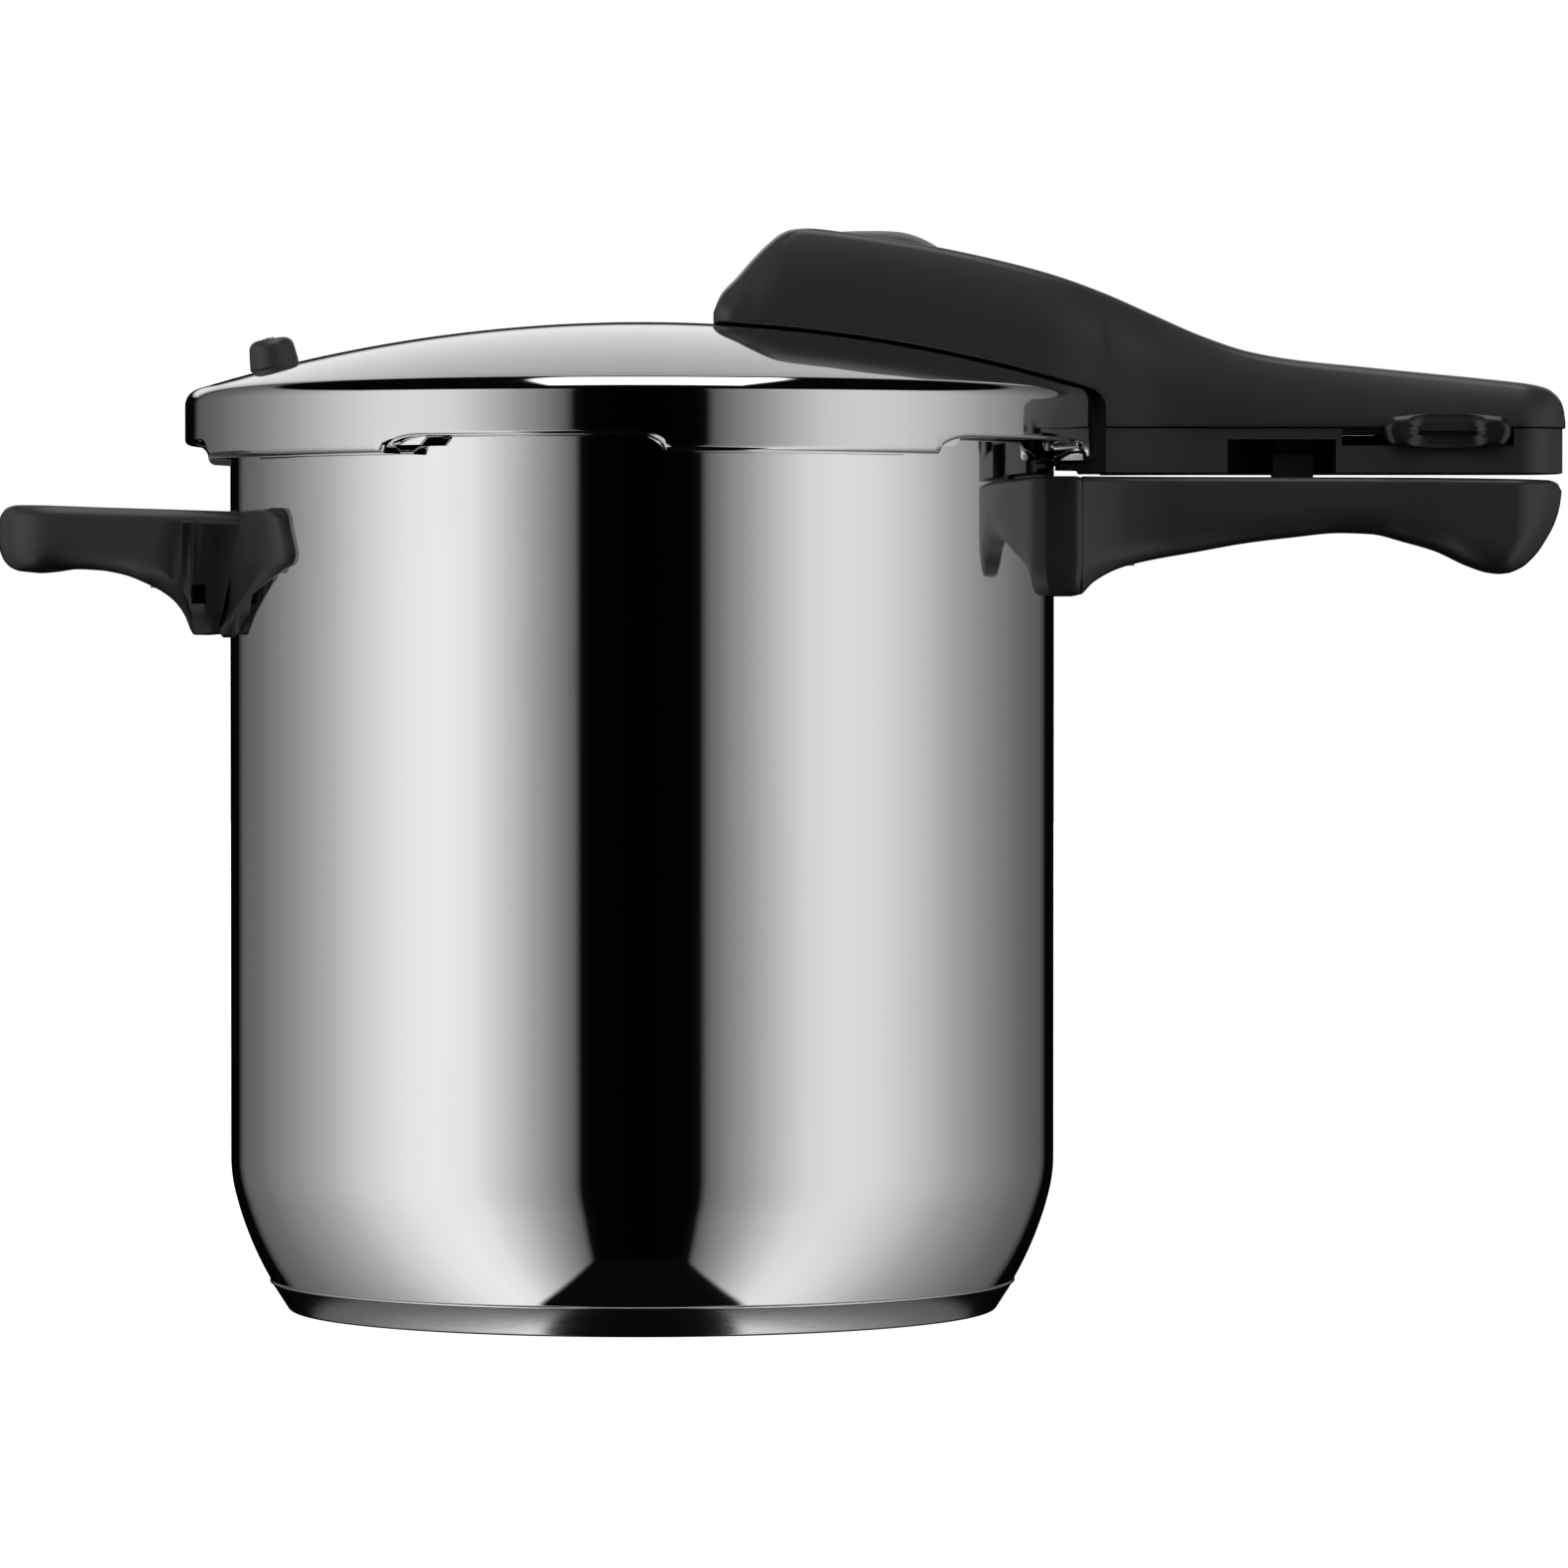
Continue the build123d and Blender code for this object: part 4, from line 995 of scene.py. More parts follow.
@dataclass(frozen=True)
class LidHandle:
    """The black two-part handle of the lid, with its latch buttons."""

    nose_x: float = 19.3 * MM
    root_x: float = 124.3 * MM
    end_x: float = 248.5 * MM
    split_z: float = 237.0 * MM
    gap: float = 0.7 * MM
    seam: float = 0.3 * MM
    heel: float = 4.2 * MM
    corner: float = 6.0 * MM
    lean: float = 4.4 * MM
    barrel: float = 18.0 * MM
    front: Line = Line((
        (0.2600, 0.0193), (0.2686, 0.0193), (0.2734, 0.0213), (0.2780, 0.0255), (0.2828, 0.0297),
        (0.2871, 0.0340), (0.2898, 0.0375), (0.2911, 0.0426),
    ))
    top: Line = Line((
        (0.0193, 0.2686), (0.0213, 0.2734), (0.0255, 0.2780), (0.0297, 0.2828), (0.0340, 0.2871),
        (0.0375, 0.2898), (0.0400, 0.2908), (0.0426, 0.2911), (0.0550, 0.2899), (0.0684, 0.2879),
        (0.0813, 0.2856), (0.0985, 0.2818), (0.1114, 0.2783), (0.1243, 0.2737), (0.1372, 0.2681),
        (0.1501, 0.2625), (0.1630, 0.2582), (0.1759, 0.2559), (0.1931, 0.2541), (0.2103, 0.2524),
        (0.2275, 0.2507), (0.2380, 0.2495), (0.2430, 0.2484), (0.2464, 0.2460), (0.2480, 0.2432),
        (0.2485, 0.2405),
    ))
    half_w: Line = Line((
        (0.0193, 0.0248), (0.0330, 0.0250), (0.0920, 0.0249), (0.1080, 0.0242), (0.1250, 0.0213),
        (0.1420, 0.0184), (0.1580, 0.0175),
        (0.2360, 0.0175), (0.2410, 0.0163), (0.2453, 0.0135), (0.2475, 0.0100), (0.2485, 0.0062),
    ))

    def build_cover(self) -> None:
        """Upper moulding: lofted along X, its lower edge hugging the dome."""
        stops = [self.nose_x, 0.0200, 0.0230, 0.0430, self.root_x - 5 * MM, self.root_x - 0.15 * MM]
        stations = spread(stops[:4], 0.7 * MM)[:-1] + spread(stops[3:], 2.0 * MM)
        stations += spread([self.root_x, 0.2360], 2.0 * MM) + spread([0.2364, self.end_x], 0.5 * MM)
        sections = [self.cover_section(x) for x in stations]
        cover = loft("handle_cover_moulding", sections)
        hand_over(cover, Body.LID, Slot.SATIN_BLACK, "handle_cover")

    def cover_section(self, x: float) -> list[Point3]:
        """The cover's outline at one place along X."""
        high = self.top(x)
        half_w = self.half_w(x)
        over_dome = x < self.root_x - 0.01 * MM
        if over_dome:
            low = LID.dome_z(x, self.gap)
            into = x - (self.root_x - self.heel)
            if into > 0:
                low -= 0.9 * self.heel * (1 - math.sqrt(max(1 - (into / self.heel) ** 2, 0.0)))
        else:
            low = self.split_z + self.seam
        crest = min(2.2 * MM, 0.45 * (high - low) + 0.3 * MM)
        barrel = min(high - low, self.barrel)
        points = []
        for y, z in self.flanked_ring(half_w, low, high, crest):
            below = min(max((high - z) / barrel, 0.0), 1.0)
            lean = self.lean * (1 - below) ** 2 * smoothstep(high - low, 0.0, 0.016)
            width = (half_w - lean - self.corner_cut(x, z)) / half_w
            if over_dome:
                sag = LID.dome_z(x) - LID.dome_z(math.hypot(x, y))
                z -= sag * smoothstep(high - z, 0.0, high - low)
            fall = 0.7 * MM * (y / half_w) ** 2 * smoothstep(z, high - 2 * MM, high)
            points.append((x, y * width, z - fall))
        return points

    def corner_cut(self, x: float, z: float) -> float:
        """How much the nose's rounded corner takes off the half width at a place."""
        ahead = x - self.front(z)
        if ahead >= self.corner:
            return 0.0
        short = self.corner - max(ahead, 0.0)
        return self.corner - math.sqrt(max(self.corner**2 - short**2, 0.0))

    @staticmethod
    def flanked_ring(half_w: float, low: float, high: float, crest: float) -> list[Point2]:
        """A rounded rectangle in (y, z) with many points up its flanks, closer near the top."""
        foot = 0.7 * MM
        steps = 16
        flank = []
        for k in range(1, steps):
            part = 1 - (1 - k / steps) ** 1.6
            flank.append(low + foot + (high - crest - low - foot) * part)
        right = arc_points((half_w - foot, low + foot), foot, -90, 0, 5)
        right += [(half_w, z) for z in flank]
        right += arc_points((half_w - crest, high - crest), crest, 0, 90, 6)
        top = [(half_w * (0.8 - 0.2 * k), high) for k in range(9)]
        left = [(-y, z) for y, z in reversed(right)]
        return right + top + left

    def build_saddle(self) -> None:
        """Front end of the lower shell: it hugs the lid's rim and reaches just under it."""
        reach = LID.radius + 0.5 * MM
        half_w = 17.0 * MM
        steps = 16
        across = [half_w * (2 * i / steps - 1) for i in range(steps + 1)]
        levels = (
            (119.4 * MM, 225.4 * MM), (118.9 * MM, 226.3 * MM), (113.2 * MM, 226.4 * MM),
            (113.2 * MM, 227.5 * MM), (reach - 0.6 * MM, 227.6 * MM), (reach, 228.2 * MM),
            (reach, 242.5 * MM), (reach - 0.4 * MM, 244.0 * MM), (reach - 1.4 * MM, 245.6 * MM),
        )
        back = self.root_x + 1.2 * MM
        sections = []
        for y in across:
            front = [(math.sqrt(r**2 - y**2), y, z) for r, z in levels]
            sections.append(front + [(back, y, 245.6 * MM), (back, y, 225.4 * MM)])
        saddle = loft("handle_saddle", sections)
        hand_over(saddle, Body.LID, Slot.SATIN_BLACK)

    def build_indicator_bump(self) -> None:
        """Low domed ring in the handle's top that the pressure indicator rises through."""
        middle_x = 66.0 * MM
        radius = 14.6 * MM
        bore = 4.35 * MM
        rise = 2.75 * MM
        base_z = self.top(middle_x) - 0.4 * MM
        slope = (self.top(middle_x + radius) - self.top(middle_x - radius)) / (2 * radius)
        reaches = [bore + (radius - bore) * i / 14 for i in range(15)]
        profile = [(r, rise * (1 - (r / radius) ** 2) ** 0.9) for r in reaches]
        profile += [(radius, -2.0 * MM), (bore, -2.0 * MM)]
        bump = lathe("indicator_bump", profile, 72)
        for vertex in bump.data.vertices:
            x, y, z = vertex.co
            tilt = slope * x * math.hypot(x, y) / radius
            vertex.co = (middle_x + x, y, base_z + z + tilt)
        hand_over(bump, Body.LID, Slot.SATIN_BLACK, "indicator_collar")

    def build_ribs(self) -> None:
        """Ribs inside the grip, behind the latch slots."""
        near, far = 3.0 * MM, 4.2 * MM
        end_x = 234.6 * MM
        low_rib = box_loft("grip_rib_low", (186.6 * MM, near, 231.8 * MM), (end_x, far, 235.6 * MM), 0.2 * MM)
        hand_over(low_rib, Body.LID, Slot.SATIN_BLACK)
        end_rib = box_loft("grip_rib_end", (222.6 * MM, near, 235.4 * MM), (end_x, far, 237.6 * MM), 0.2 * MM)
        hand_over(end_rib, Body.LID, Slot.SATIN_BLACK)


@dataclass(frozen=True)
class LatchButtons:
    """The sliding latch: an oval pad with a thumb scoop on each side, their bar and slot guides."""

    pad_low: Point3 = (198.8 * MM, 0.0, 231.7 * MM)
    pad_high: Point3 = (232.8 * MM, 0.0, 240.9 * MM)
    face_y: float = 17.8 * MM
    proud: float = 2.6 * MM
    edge: float = 2.3 * MM
    scoop: float = 1.7 * MM
    scoop_half: float = 9.8 * MM
    scoop_run: float = 2.2 * MM
    edge_rings: int = 8
    rings: int = 22
    around: int = 96

    def build(self) -> None:
        """Both pads, the bar between them and the guides that close the slots."""
        for side in (-1, 1):
            self.build_pad(side)
        bar = box_loft("latch_bar", (201 * MM, -self.face_y, 235.8 * MM), (221 * MM, self.face_y, 236.6 * MM),
                       0.3 * MM)
        hand_over(bar, Body.LATCH, Slot.GLOSS_BLACK)
        for side in (-1, 1):
            near, far = sorted((side * 12.6 * MM, side * 13.9 * MM))
            plate = box_loft(f"latch_guide_{self.side_name(side)}",
                             (188 * MM, near, 235.9 * MM), (233.4 * MM, far, 237.0 * MM), 0.2 * MM)
            hand_over(plate, Body.LATCH, Slot.SATIN_BLACK)

    @staticmethod
    def side_name(side: int) -> str:
        """Word for a side of the handle."""
        return "near" if side < 0 else "far"

    def build_pad(self, side: int) -> None:
        """One pad: rings of points from its foot over the rounded edge to its middle."""
        verts = [self.pad_point(k, j, side) for k in range(self.rings + 1) for j in range(self.around)]
        faces = grid_faces(self.rings + 1, self.around, False, True)
        last = self.rings * self.around
        faces.append(list(range(self.around)))
        faces.append(list(range(last, last + self.around)))
        pad = new_object(f"latch_pad_{self.side_name(side)}", verts, faces, 40)
        nodes = ("slider_button",) if side < 0 else ()
        hand_over(pad, Body.LATCH, Slot.GLOSS_BLACK, *nodes)

    def pad_point(self, ring: int, step: int, side: int) -> Point3:
        """A point of the pad: which ring from its foot, which step round it, on which side."""
        low, high = Vector(self.pad_low), Vector(self.pad_high)
        half_l = (high.x - low.x) / 2
        half_h = (high.z - low.z) / 2
        if ring <= self.edge_rings:
            turn_in = math.pi / 2 * ring / self.edge_rings
            shrink = self.edge * (1 - math.cos(turn_in))
            depth = self.proud * (0.15 + 0.85 * math.sin(turn_in))
        else:
            inner_rings = self.rings - self.edge_rings
            shrink = self.edge + (half_h - self.edge) * 0.999 * (ring - self.edge_rings) / inner_rings
            depth = self.proud
        turn = 2 * math.pi * step / self.around
        straight = (half_l - half_h) * min(max(1.9 * math.cos(turn), -1.0), 1.0)
        reach = half_h - shrink
        x = straight + reach * math.cos(turn)
        z = reach * math.sin(turn)
        scoop = self.scoop * smoothstep(self.scoop_half - abs(x), 0.0, self.scoop_run)
        y = self.face_y + depth - scoop * smoothstep(depth, self.proud * 0.2, self.proud)
        return (high.x + low.x) / 2 + x, side * y, (high.z + low.z) / 2 + z


@dataclass(frozen=True)
class Spring:
    """An upright coil of round wire between a lower and an upper seat.

    The node is the frame's node that it stands for, x is where its axis crosses the handle's
    centre plane, wire is half the wire's thickness, and travel is not used.
    """

    node: str
    joint: str
    x: float
    low: float
    high: float
    radius: float
    wire: float
    turns: int
    travel: float
    around: int = 8
    steps_per_turn: int = 24

    def build(self) -> None:
        """Sweep the wire's section up the coil."""
        steps = self.turns * self.steps_per_turn
        height = self.high - self.low - 2 * self.wire
        verts: list[Point3] = []
        for i in range(steps + 1):
            turn = 2 * math.pi * self.turns * i / steps
            middle_z = self.low + self.wire + height * i / steps
            for j in range(self.around):
                bend = 2 * math.pi * j / self.around
                reach = self.radius + self.wire * math.cos(bend)
                z = middle_z + self.wire * math.sin(bend)
                verts.append((self.x + reach * math.cos(turn), reach * math.sin(turn), z))
        faces = grid_faces(steps + 1, self.around, False, True)
        last = steps * self.around
        faces.append(list(range(self.around)))
        faces.append(list(range(last, last + self.around)))
        coil = new_object(f"{self.node}_coil", verts, faces, 40)
        hand_over(coil, Body.LID, Slot.SPRING, self.node)
        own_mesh(coil)


SPRINGS = (
    Spring("indicator_spring", "indicator_rise", x=66.0 * MM, low=268.0 * MM, high=283.2 * MM,
           radius=5.5 * MM, wire=0.55 * MM, turns=5, travel=9.0 * MM),
    Spring("steam_spring", "steam_lift", x=38.0 * MM, low=270.4 * MM, high=277.6 * MM,
           radius=3.2 * MM, wire=0.45 * MM, turns=4, travel=2.0 * MM),
)


# ---------------------------------------------------------------------------
# The pot's handles
# ---------------------------------------------------------------------------


@dataclass(frozen=True)
class PotHandle:
    """The long handle under the lid handle, and its heat guard."""

    root_x: float = 118.0 * MM
    end_x: float = 247.7 * MM
    top_z: float = 224.1 * MM
    top: Line = Line(((0.118, 0.2241), (0.200, 0.2239), (0.2430, 0.2233), (0.2460, 0.2226), (0.2477, 0.2206)))
    belly: Line = Line((
        (0.1180, 0.1926), (0.1186, 0.1932), (0.1214, 0.1960), (0.1286, 0.1997), (0.1372, 0.2019),
        (0.1501, 0.2042), (0.1630, 0.2065), (0.1759, 0.2081), (0.1888, 0.2093), (0.1974, 0.2090),
        (0.2060, 0.2069), (0.2146, 0.2044), (0.2232, 0.2004), (0.2290, 0.1985), (0.2320, 0.1982),
        (0.2361, 0.1995), (0.2404, 0.2030), (0.2447, 0.2094), (0.2464, 0.2133), (0.2474, 0.2172),
        (0.2477, 0.2196),
    ))
    half_w: Line = Line((
        (0.1180, 0.0234), (0.1230, 0.0215), (0.1300, 0.0195), (0.1420, 0.0178), (0.1600, 0.0170),
        (0.2340, 0.0175), (0.2400, 0.0158), (0.2440, 0.0125), (0.2467, 0.0080), (0.2477, 0.0040),
    ))

    def build_grip(self) -> None:
        """Grip, lofted along X, with its upright lug."""
        stations = spread([self.root_x, 0.1300], 0.8 * MM) + spread([0.1320, 0.2300], 2.0 * MM)
        stations += spread([0.2310, self.end_x], 0.5 * MM)
        sections = []
        for x in stations:
            low, high = self.belly(x), self.top(x)
            under = 7.5 * MM + 3.0 * MM * smoothstep(x, 0.22, 0.24)
            ring = rounded_section(self.half_w(x), low, high, under, 1.8 * MM, 8)
            sections.append([(x, y, z) for y, z in ring])
        grip = loft("pot_handle_moulding", sections, 40)
        grip = hand_over(grip, Body.POT, Slot.SATIN_BLACK, "pot_handle_grip")
        lug = box_loft("pot_handle_lug", (169.9 * MM, -5 * MM, 222 * MM), (180.7 * MM, 5 * MM, 231 * MM),
                       0.6 * MM)
        hand_over(lug, Body.POT, Slot.SATIN_BLACK)

    def build_collar(self) -> None:
        """Heat guard: a block whose back lies on the pot's wall, rounded below."""
        half_w = 25.0 * MM
        low, high = 192.2 * MM, self.top_z
        mid_z = (low + high) / 2
        front_x = self.root_x - 0.15 * MM
        ring = rounded_section(half_w, low, high, 9.0 * MM, 1.2 * MM, 8)
        sections = []
        for depth, shrink in ((0.0, 0.0), (0.25, 0.0), (0.5, 0.0), (0.8, 0.0), (0.93, 0.25), (1.0, 0.9)):
            section = []
            for y, z in ring:
                wall_x = math.sqrt(Pot.radius**2 - y**2)
                x = wall_x + (front_x - wall_x) * depth
                scale_y = 1 - shrink * MM / half_w
                scale_z = 1 - shrink * MM / ((high - low) / 2)
                section.append((x, y * scale_y, mid_z + (z - mid_z) * scale_z))
            sections.append(section)
        collar = loft("pot_handle_guard", sections, 40)
        hand_over(collar, Body.POT, Slot.SATIN_BLACK, "pot_handle_collar")


@dataclass(frozen=True)
class HelperHandle:
    """The short handle on the other side, and its wrap-round heat guard."""

    tip_x: float = -172.7 * MM
    wall_r: float = Pot.radius
    guard_t: float = 3.0 * MM
    top: Line = Line(((-0.1727, 0.2095), (-0.1722, 0.2118), (-0.1708, 0.2142), (-0.1690, 0.2157),
                      (-0.1660, 0.2163), (-0.1400, 0.2155), (-0.1040, 0.2144)))
    belly: Line = Line(((-0.1727, 0.2070), (-0.1720, 0.2045), (-0.1705, 0.2016), (-0.1682, 0.1996),
                        (-0.1650, 0.1986), (-0.1600, 0.1990), (-0.1552, 0.1997), (-0.1466, 0.1992),
                        (-0.1380, 0.1978), (-0.1294, 0.1943), (-0.1251, 0.1914), (-0.1208, 0.1868),
                        (-0.1180, 0.1828), (-0.1160, 0.1817), (-0.1120, 0.1817), (-0.1040, 0.1820)))
    half_w: Line = Line(((-0.1727, 0.0120), (-0.1720, 0.0200), (-0.1700, 0.0262), (-0.1660, 0.0312),
                         (-0.1600, 0.0338), (-0.1500, 0.0352), (-0.1200, 0.0395), (-0.1040, 0.0425)))

    def build_grip(self) -> None:
        """Tongue-shaped grip, its root wrapped to the guard, hollow underneath."""
        stations = spread([self.tip_x, -0.1640], 0.45 * MM) + spread([-0.1620, -0.1260], 2.0 * MM)
        stations += spread([-0.1245, -0.1040], 1.0 * MM)
        seat_r = self.wall_r + self.guard_t
        under = 6.5 * MM
        crest = 3.5 * MM
        sections = []
        for x in stations:
            low, high = self.belly(x), self.top(x)
            half_w = self.half_w(x)
            pull = smoothstep(x, -0.126, -0.104)
            deep = smoothstep(-x, 0.104, 0.126)
            taper = (high - low) > 20 * MM
            section = []
            for y, z in rounded_section(half_w, low, high, under, crest, 8):
                if taper:
                    fall = smoothstep(0.200 - z, 0.0, 0.018)
                    y *= 1 - 0.62 * fall * (1 - deep * 0.4)
                root_x = -math.sqrt(seat_r**2 - y**2)
                section.append((x + (root_x + 0.104) * pull, y, z))
            sections.append(section)
        grip = loft("helper_grip_moulding", sections, 40)
        hollow = box_loft("helper_hollow", (-158 * MM, -24 * MM, 190 * MM), (-144 * MM, 24 * MM, 211.3 * MM),
                          3 * MM)
        carve(grip, hollow, 40)
        for side in (-1, 1):
            y = side * 36 * MM
            window = box_loft("helper_window", (-119.5 * MM, y - 18 * MM, 190 * MM),
                              (-116.0 * MM, y + 18 * MM, 195 * MM), 0.3 * MM)
            carve(grip, window, 40)
        hand_over(grip, Body.POT, Slot.SATIN_BLACK, "helper_grip")

    def build_guard(self) -> None:
        """Heat guard: a curved shield, wide above and pointed below."""
        outline = []
        outline += arc_points((59.0, 211.0), 4.0, 90, 0, 6)
        outline += arc_points((61.5, 203.0), 4.0, 10, -45, 6)
        outline += arc_points((14.0, 186.0), 5.0, -45, -90, 6)
        left = [(-y, z) for y, z in reversed(outline)]
        ring = outline + left
        mid_z = 200.0
        sections = []
        for depth, shrink in ((0.0, 0.0), (0.7, 0.0), (1.0, 0.8)):
            section = []
            for y, z in ring:
                y2 = y * (1 - shrink / 62) * MM
                z2 = (mid_z + (z - mid_z) * (1 - shrink / 15)) * MM
                r = self.wall_r + self.guard_t * depth
                section.append((-math.sqrt(r**2 - y2**2), y2, z2))
            sections.append(section)
        guard = self.curved_plate("helper_guard_moulding", sections)
        hand_over(guard, Body.POT, Slot.SATIN_BLACK, "helper_flange")

    def curved_plate(self, name: str, sections: list[list[Point3]]) -> bpy.types.Object:
        """Skin the shield; both faces are strips across, so that they follow the wall."""
        count = len(sections[0])
        verts = [p for section in sections for p in section]
        faces = grid_faces(len(sections), count, False, True)
        last = (len(sections) - 1) * count
        half = count // 2
        strips = 28
        for start, r in ((0, self.wall_r), (last, self.wall_r + self.guard_t)):
            rows = []
            for j in range(half):
                right = verts[start + j]
                left = verts[start + count - 1 - j]
                row = [start + j]
                for k in range(1, strips):
                    y = right[1] + (left[1] - right[1]) * k / strips
                    verts.append((-math.sqrt(r**2 - y**2), y, right[2]))
                    row.append(len(verts) - 1)
                row.append(start + count - 1 - j)
                rows.append(row)
            for upper, lower in zip(rows, rows[1:]):
                faces += [[upper[k], upper[k + 1], lower[k + 1], lower[k]] for k in range(strips)]
            for row in (rows[0], rows[-1]):
                edge = [row[0], row[-1]] + list(reversed(row[1:-1]))
                faces.append(edge)
        return new_object(name, verts, faces, 40)


# ---------------------------------------------------------------------------
# The studio
# ---------------------------------------------------------------------------


@dataclass(frozen=True)
class Studio:
    """Floor, light and camera."""

    camera_place: Point3 = (0.0382, -2.15, 0.178)
    camera_pitch: float = -0.973
    lens: float = 182.8
    strip_shift: float = 0.5
    panel_tones: tuple[Point2, ...] = (
        (0.0, 0.0005), (13.0, 0.001), (16.2, 0.004), (18.4, 0.15), (23.0, 0.27), (29.5, 0.42),
        (37.5, 0.66), (47.0, 0.93), (57.0, 1.02), (68.0, 0.96), (82.0, 0.76), (97.0, 0.50),
        (112.0, 0.33), (132.0, 0.18), (147.0, 0.125), (151.0, 0.06), (154.0, 0.002), (180.0, 0.001),
    )

    def build(self) -> None:
        """Set up everything round the cooker."""
        self.place_camera()
        self.lay_floor()
        self.hang_sky()

    def place_camera(self) -> None:
        """A long lens in front, a little below the rim's height."""
        data = bpy.data.cameras.new("studio_camera")
        data.lens = self.lens
        data.sensor_width = 36.0
        data.clip_end = 50.0
        camera = bpy.data.objects.new("studio_camera", data)
        camera.location = self.camera_place
        camera.rotation_euler = (math.radians(90.0 + self.camera_pitch), 0.0, 0.0)
        bpy.context.scene.collection.objects.link(camera)
        bpy.context.scene.camera = camera

    def lay_floor(self) -> None:
        """A plain pale floor, bright enough to melt into the backdrop."""
        half = 6.0
        verts = [(-half, -half, 0.0), (half, -half, 0.0), (half, half, 0.0), (-half, half, 0.0)]
        floor = new_object("studio_floor", verts, [[0, 1, 2, 3]])
        material = bpy.data.materials.new("pale_floor")
        material.use_nodes = True
        wires = Wires(material.node_tree)
        shader = material.node_tree.nodes["Principled BSDF"]
        place = wires.add("ShaderNodeTexCoord").outputs["Object"]
        tone = wires.blend(wires.noise(place, 3.0), grey(0.30), grey(0.34))
        wires.join(tone, shader.inputs["Base Color"])
        shader.inputs["Roughness"].default_value = 0.9
        shader.inputs["Specular IOR Level"].default_value = 0.0
        shader.inputs["Emission Color"].default_value = grey(1.0)
        shader.inputs["Emission Strength"].default_value = 1.0
        floor.data.materials.append(material)
        floor.visible_glossy = False
        floor.visible_diffuse = False

    def hang_sky(self) -> None:
        """Soft side panels, a dark strip ahead and a panel overhead, as one soft surround."""
        world = bpy.data.worlds.new("studio_surround")
        bpy.context.scene.world = world
        world.use_nodes = True
        wires = Wires(world.node_tree)
        background = world.node_tree.nodes["Background"]
        way = wires.add("ShaderNodeTexCoord").outputs["Generated"]
        axes = wires.add("ShaderNodeSeparateXYZ")
        wires.join(way, axes.inputs[0])
        x, y, z = axes.outputs
        side = wires.calc("ABSOLUTE", x)
        signed = wires.calc("DEGREES", wires.calc("ARCTAN2", x, wires.calc("MULTIPLY", y, -1.0)))
        azimuth = wires.calc("ABSOLUTE", wires.calc("SUBTRACT", signed, self.strip_shift))
        elevation = wires.calc("DEGREES", wires.calc("ARCSINE", z))
        panel = self.side_panels(wires, azimuth, x)
        upper = self.back_wall(wires, azimuth, elevation, panel)
        ceiling = self.ceiling(wires, azimuth, elevation, upper, x, y, z)
        lower = self.ground(wires, elevation, ceiling, side, y, z)
        rays = wires.add("ShaderNodeLightPath")
        key = self.soft_key(wires, elevation, x)
        lit = wires.blend(rays.outputs["Is Diffuse Ray"], lower, key)
        wires.join(wires.blend(rays.outputs["Is Camera Ray"], lit, grey(1.0)), background.inputs["Color"])

    def soft_key(self, wires: Wires, elevation: bpy.types.NodeSocket, x: bpy.types.NodeSocket
                 ) -> bpy.types.NodeSocket:
        """Broad soft light on matt surfaces: from above, stronger from the left."""
        upper = wires.remap(elevation, 5.0, 75.0)
        left = wires.remap(x, 0.6, -0.9)
        level = wires.calc("ADD", 1.3, wires.calc("MULTIPLY", left, 2.6))
        tone = wires.calc("ADD", 0.06, wires.calc("MULTIPLY", upper, level))
        colour = wires.add("ShaderNodeCombineColor")
        for socket in colour.inputs:
            wires.join(tone, socket)
        return colour.outputs[0]

    def side_panels(self, wires: Wires, azimuth: bpy.types.NodeSocket, x: bpy.types.NodeSocket
                    ) -> bpy.types.NodeSocket:
        """Brightness of the surround at the horizon, from the front round to the back."""
        node = wires.add("ShaderNodeValToRGB")
        wires.join(wires.calc("DIVIDE", azimuth, 180.0), node.inputs["Fac"])
        ramp = node.color_ramp
        ramp.interpolation = "LINEAR"
        while len(ramp.elements) < len(self.panel_tones):
            ramp.elements.new(0.5)
        for element, (degrees, tone) in zip(ramp.elements, self.panel_tones):
            element.position = degrees / 180.0
            element.color = grey(tone)
        fainter = wires.remap(x, 0.15, 0.85, 0.0, 0.13)
        return wires.blend(fainter, node.outputs["Color"], grey(0.0))

    def back_wall(self, wires: Wires, azimuth: bpy.types.NodeSocket, elevation: bpy.types.NodeSocket,
                  panel: bpy.types.NodeSocket) -> bpy.types.NodeSocket:
        """The bright backdrop that the dome mirrors, above a dark edge at the horizon."""
        fade = wires.remap(elevation, 9.0, 36.0, 0.92, 0.33, smooth=False)
        tone = wires.add("ShaderNodeCombineColor")
        for socket in tone.inputs:
            wires.join(fade, socket)
        behind = wires.remap(azimuth, 151.0, 159.0)
        above = wires.remap(elevation, 7.5, 11.0)
        return wires.blend(wires.calc("MULTIPLY", behind, above), panel, tone.outputs[0])

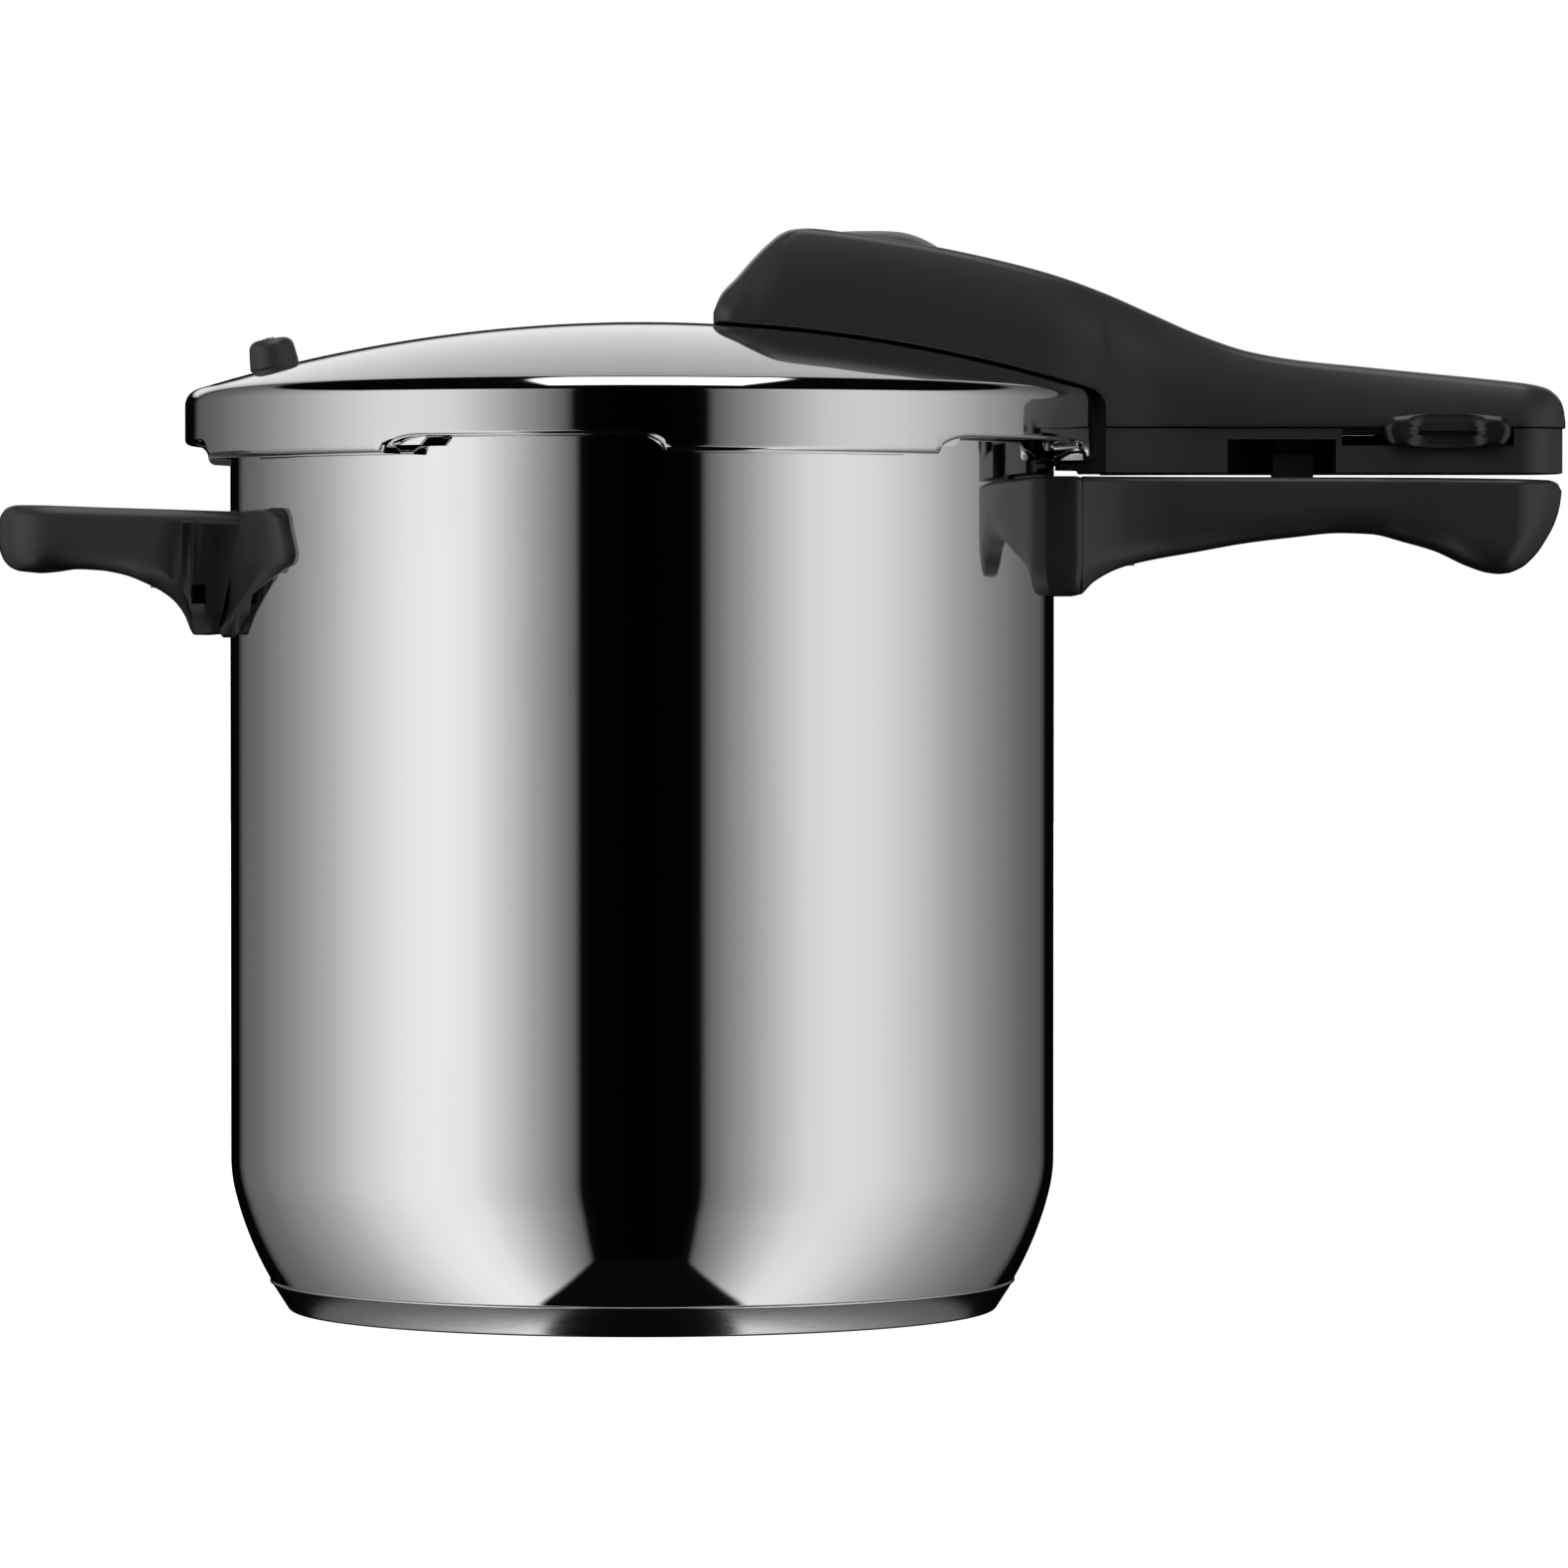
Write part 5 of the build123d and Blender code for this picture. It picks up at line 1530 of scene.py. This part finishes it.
    def ceiling(self, wires: Wires, azimuth: bpy.types.NodeSocket, elevation: bpy.types.NodeSocket,
                below: bpy.types.NodeSocket, x: bpy.types.NodeSocket, y: bpy.types.NodeSocket,
                z: bpy.types.NodeSocket) -> bpy.types.NodeSocket:
        """A dark ceiling with one bright panel over the cooker."""
        edge = wires.remap(azimuth, 80.0, 150.0, 24.0, 36.0, smooth=False)
        over = wires.remap(wires.calc("SUBTRACT", elevation, edge), 0.0, 4.0)
        dark = wires.blend(over, below, grey(0.002))
        height = wires.calc("MAXIMUM", z, 0.001)
        across = wires.calc("DIVIDE", x, height)
        along = wires.calc("DIVIDE", y, height)
        half = wires.calc("SUBTRACT", 0.30, wires.calc("MULTIPLY", along, 0.20))
        beyond = wires.calc("SUBTRACT", wires.calc("ABSOLUTE", wires.calc("SUBTRACT", across, 0.03)), half)
        inside_x = wires.remap(beyond, 0.01, -0.03)
        inside_y = wires.remap(wires.calc("ABSOLUTE", along), 0.80, 0.74)
        panel = wires.calc("MULTIPLY", inside_x, inside_y)
        return wires.blend(panel, dark, grey(1.8))

    def ground(self, wires: Wires, elevation: bpy.types.NodeSocket, above: bpy.types.NodeSocket,
               side: bpy.types.NodeSocket, y: bpy.types.NodeSocket, z: bpy.types.NodeSocket
               ) -> bpy.types.NodeSocket:
        """The floor as the turned-in foot mirrors it, with a dark camera stand ahead of the pot."""
        depth = wires.calc("MAXIMUM", wires.calc("MULTIPLY", z, -1.0), 0.001)
        ahead = wires.calc("DIVIDE", y, depth)
        aside = wires.calc("DIVIDE", side, depth)
        widening = wires.calc("ADD", 0.255, wires.calc("MULTIPLY", wires.calc("ADD", ahead, 0.946), 0.314))
        narrowing = wires.calc("MULTIPLY", wires.calc("ADD", ahead, 0.363), 0.454)
        closing = wires.calc("SUBTRACT", 0.438, narrowing)
        limit = wires.calc("MINIMUM", widening, closing)
        stand = wires.remap(wires.calc("SUBTRACT", aside, limit), 0.02, -0.02)
        near = wires.calc("MULTIPLY", stand, wires.remap(ahead, -0.965, -0.935))
        steep = wires.remap(elevation, -36.0, -42.0)
        return wires.blend(wires.calc("MULTIPLY", near, steep), above, grey(0.003))


def set_view() -> None:
    """Plain colour handling, so that white stays white."""
    view = bpy.context.scene.view_settings
    view.view_transform = "Standard"
    view.look = "None"


def main() -> None:
    """Build the cooker and its studio in order."""
    logging.basicConfig(level=logging.INFO, format="%(message)s")
    set_view()
    WARDROBE.fill()
    WARDROBE.dress_frame()
    Studio().build()
    pot = Pot()
    pot.build_shell()
    pot.build_base()
    LID.build_shell()
    LID.build_safety_knob()
    handle = LidHandle()
    handle.build_cover()
    LatchButtons().build()
    for spring in SPRINGS:
        spring.build()
    handle.build_saddle()
    handle.build_indicator_bump()
    handle.build_ribs()
    pot_handle = PotHandle()
    pot_handle.build_grip()
    pot_handle.build_collar()
    helper = HelperHandle()
    helper.build_grip()
    helper.build_guard()


if __name__ == "__main__":
    main()
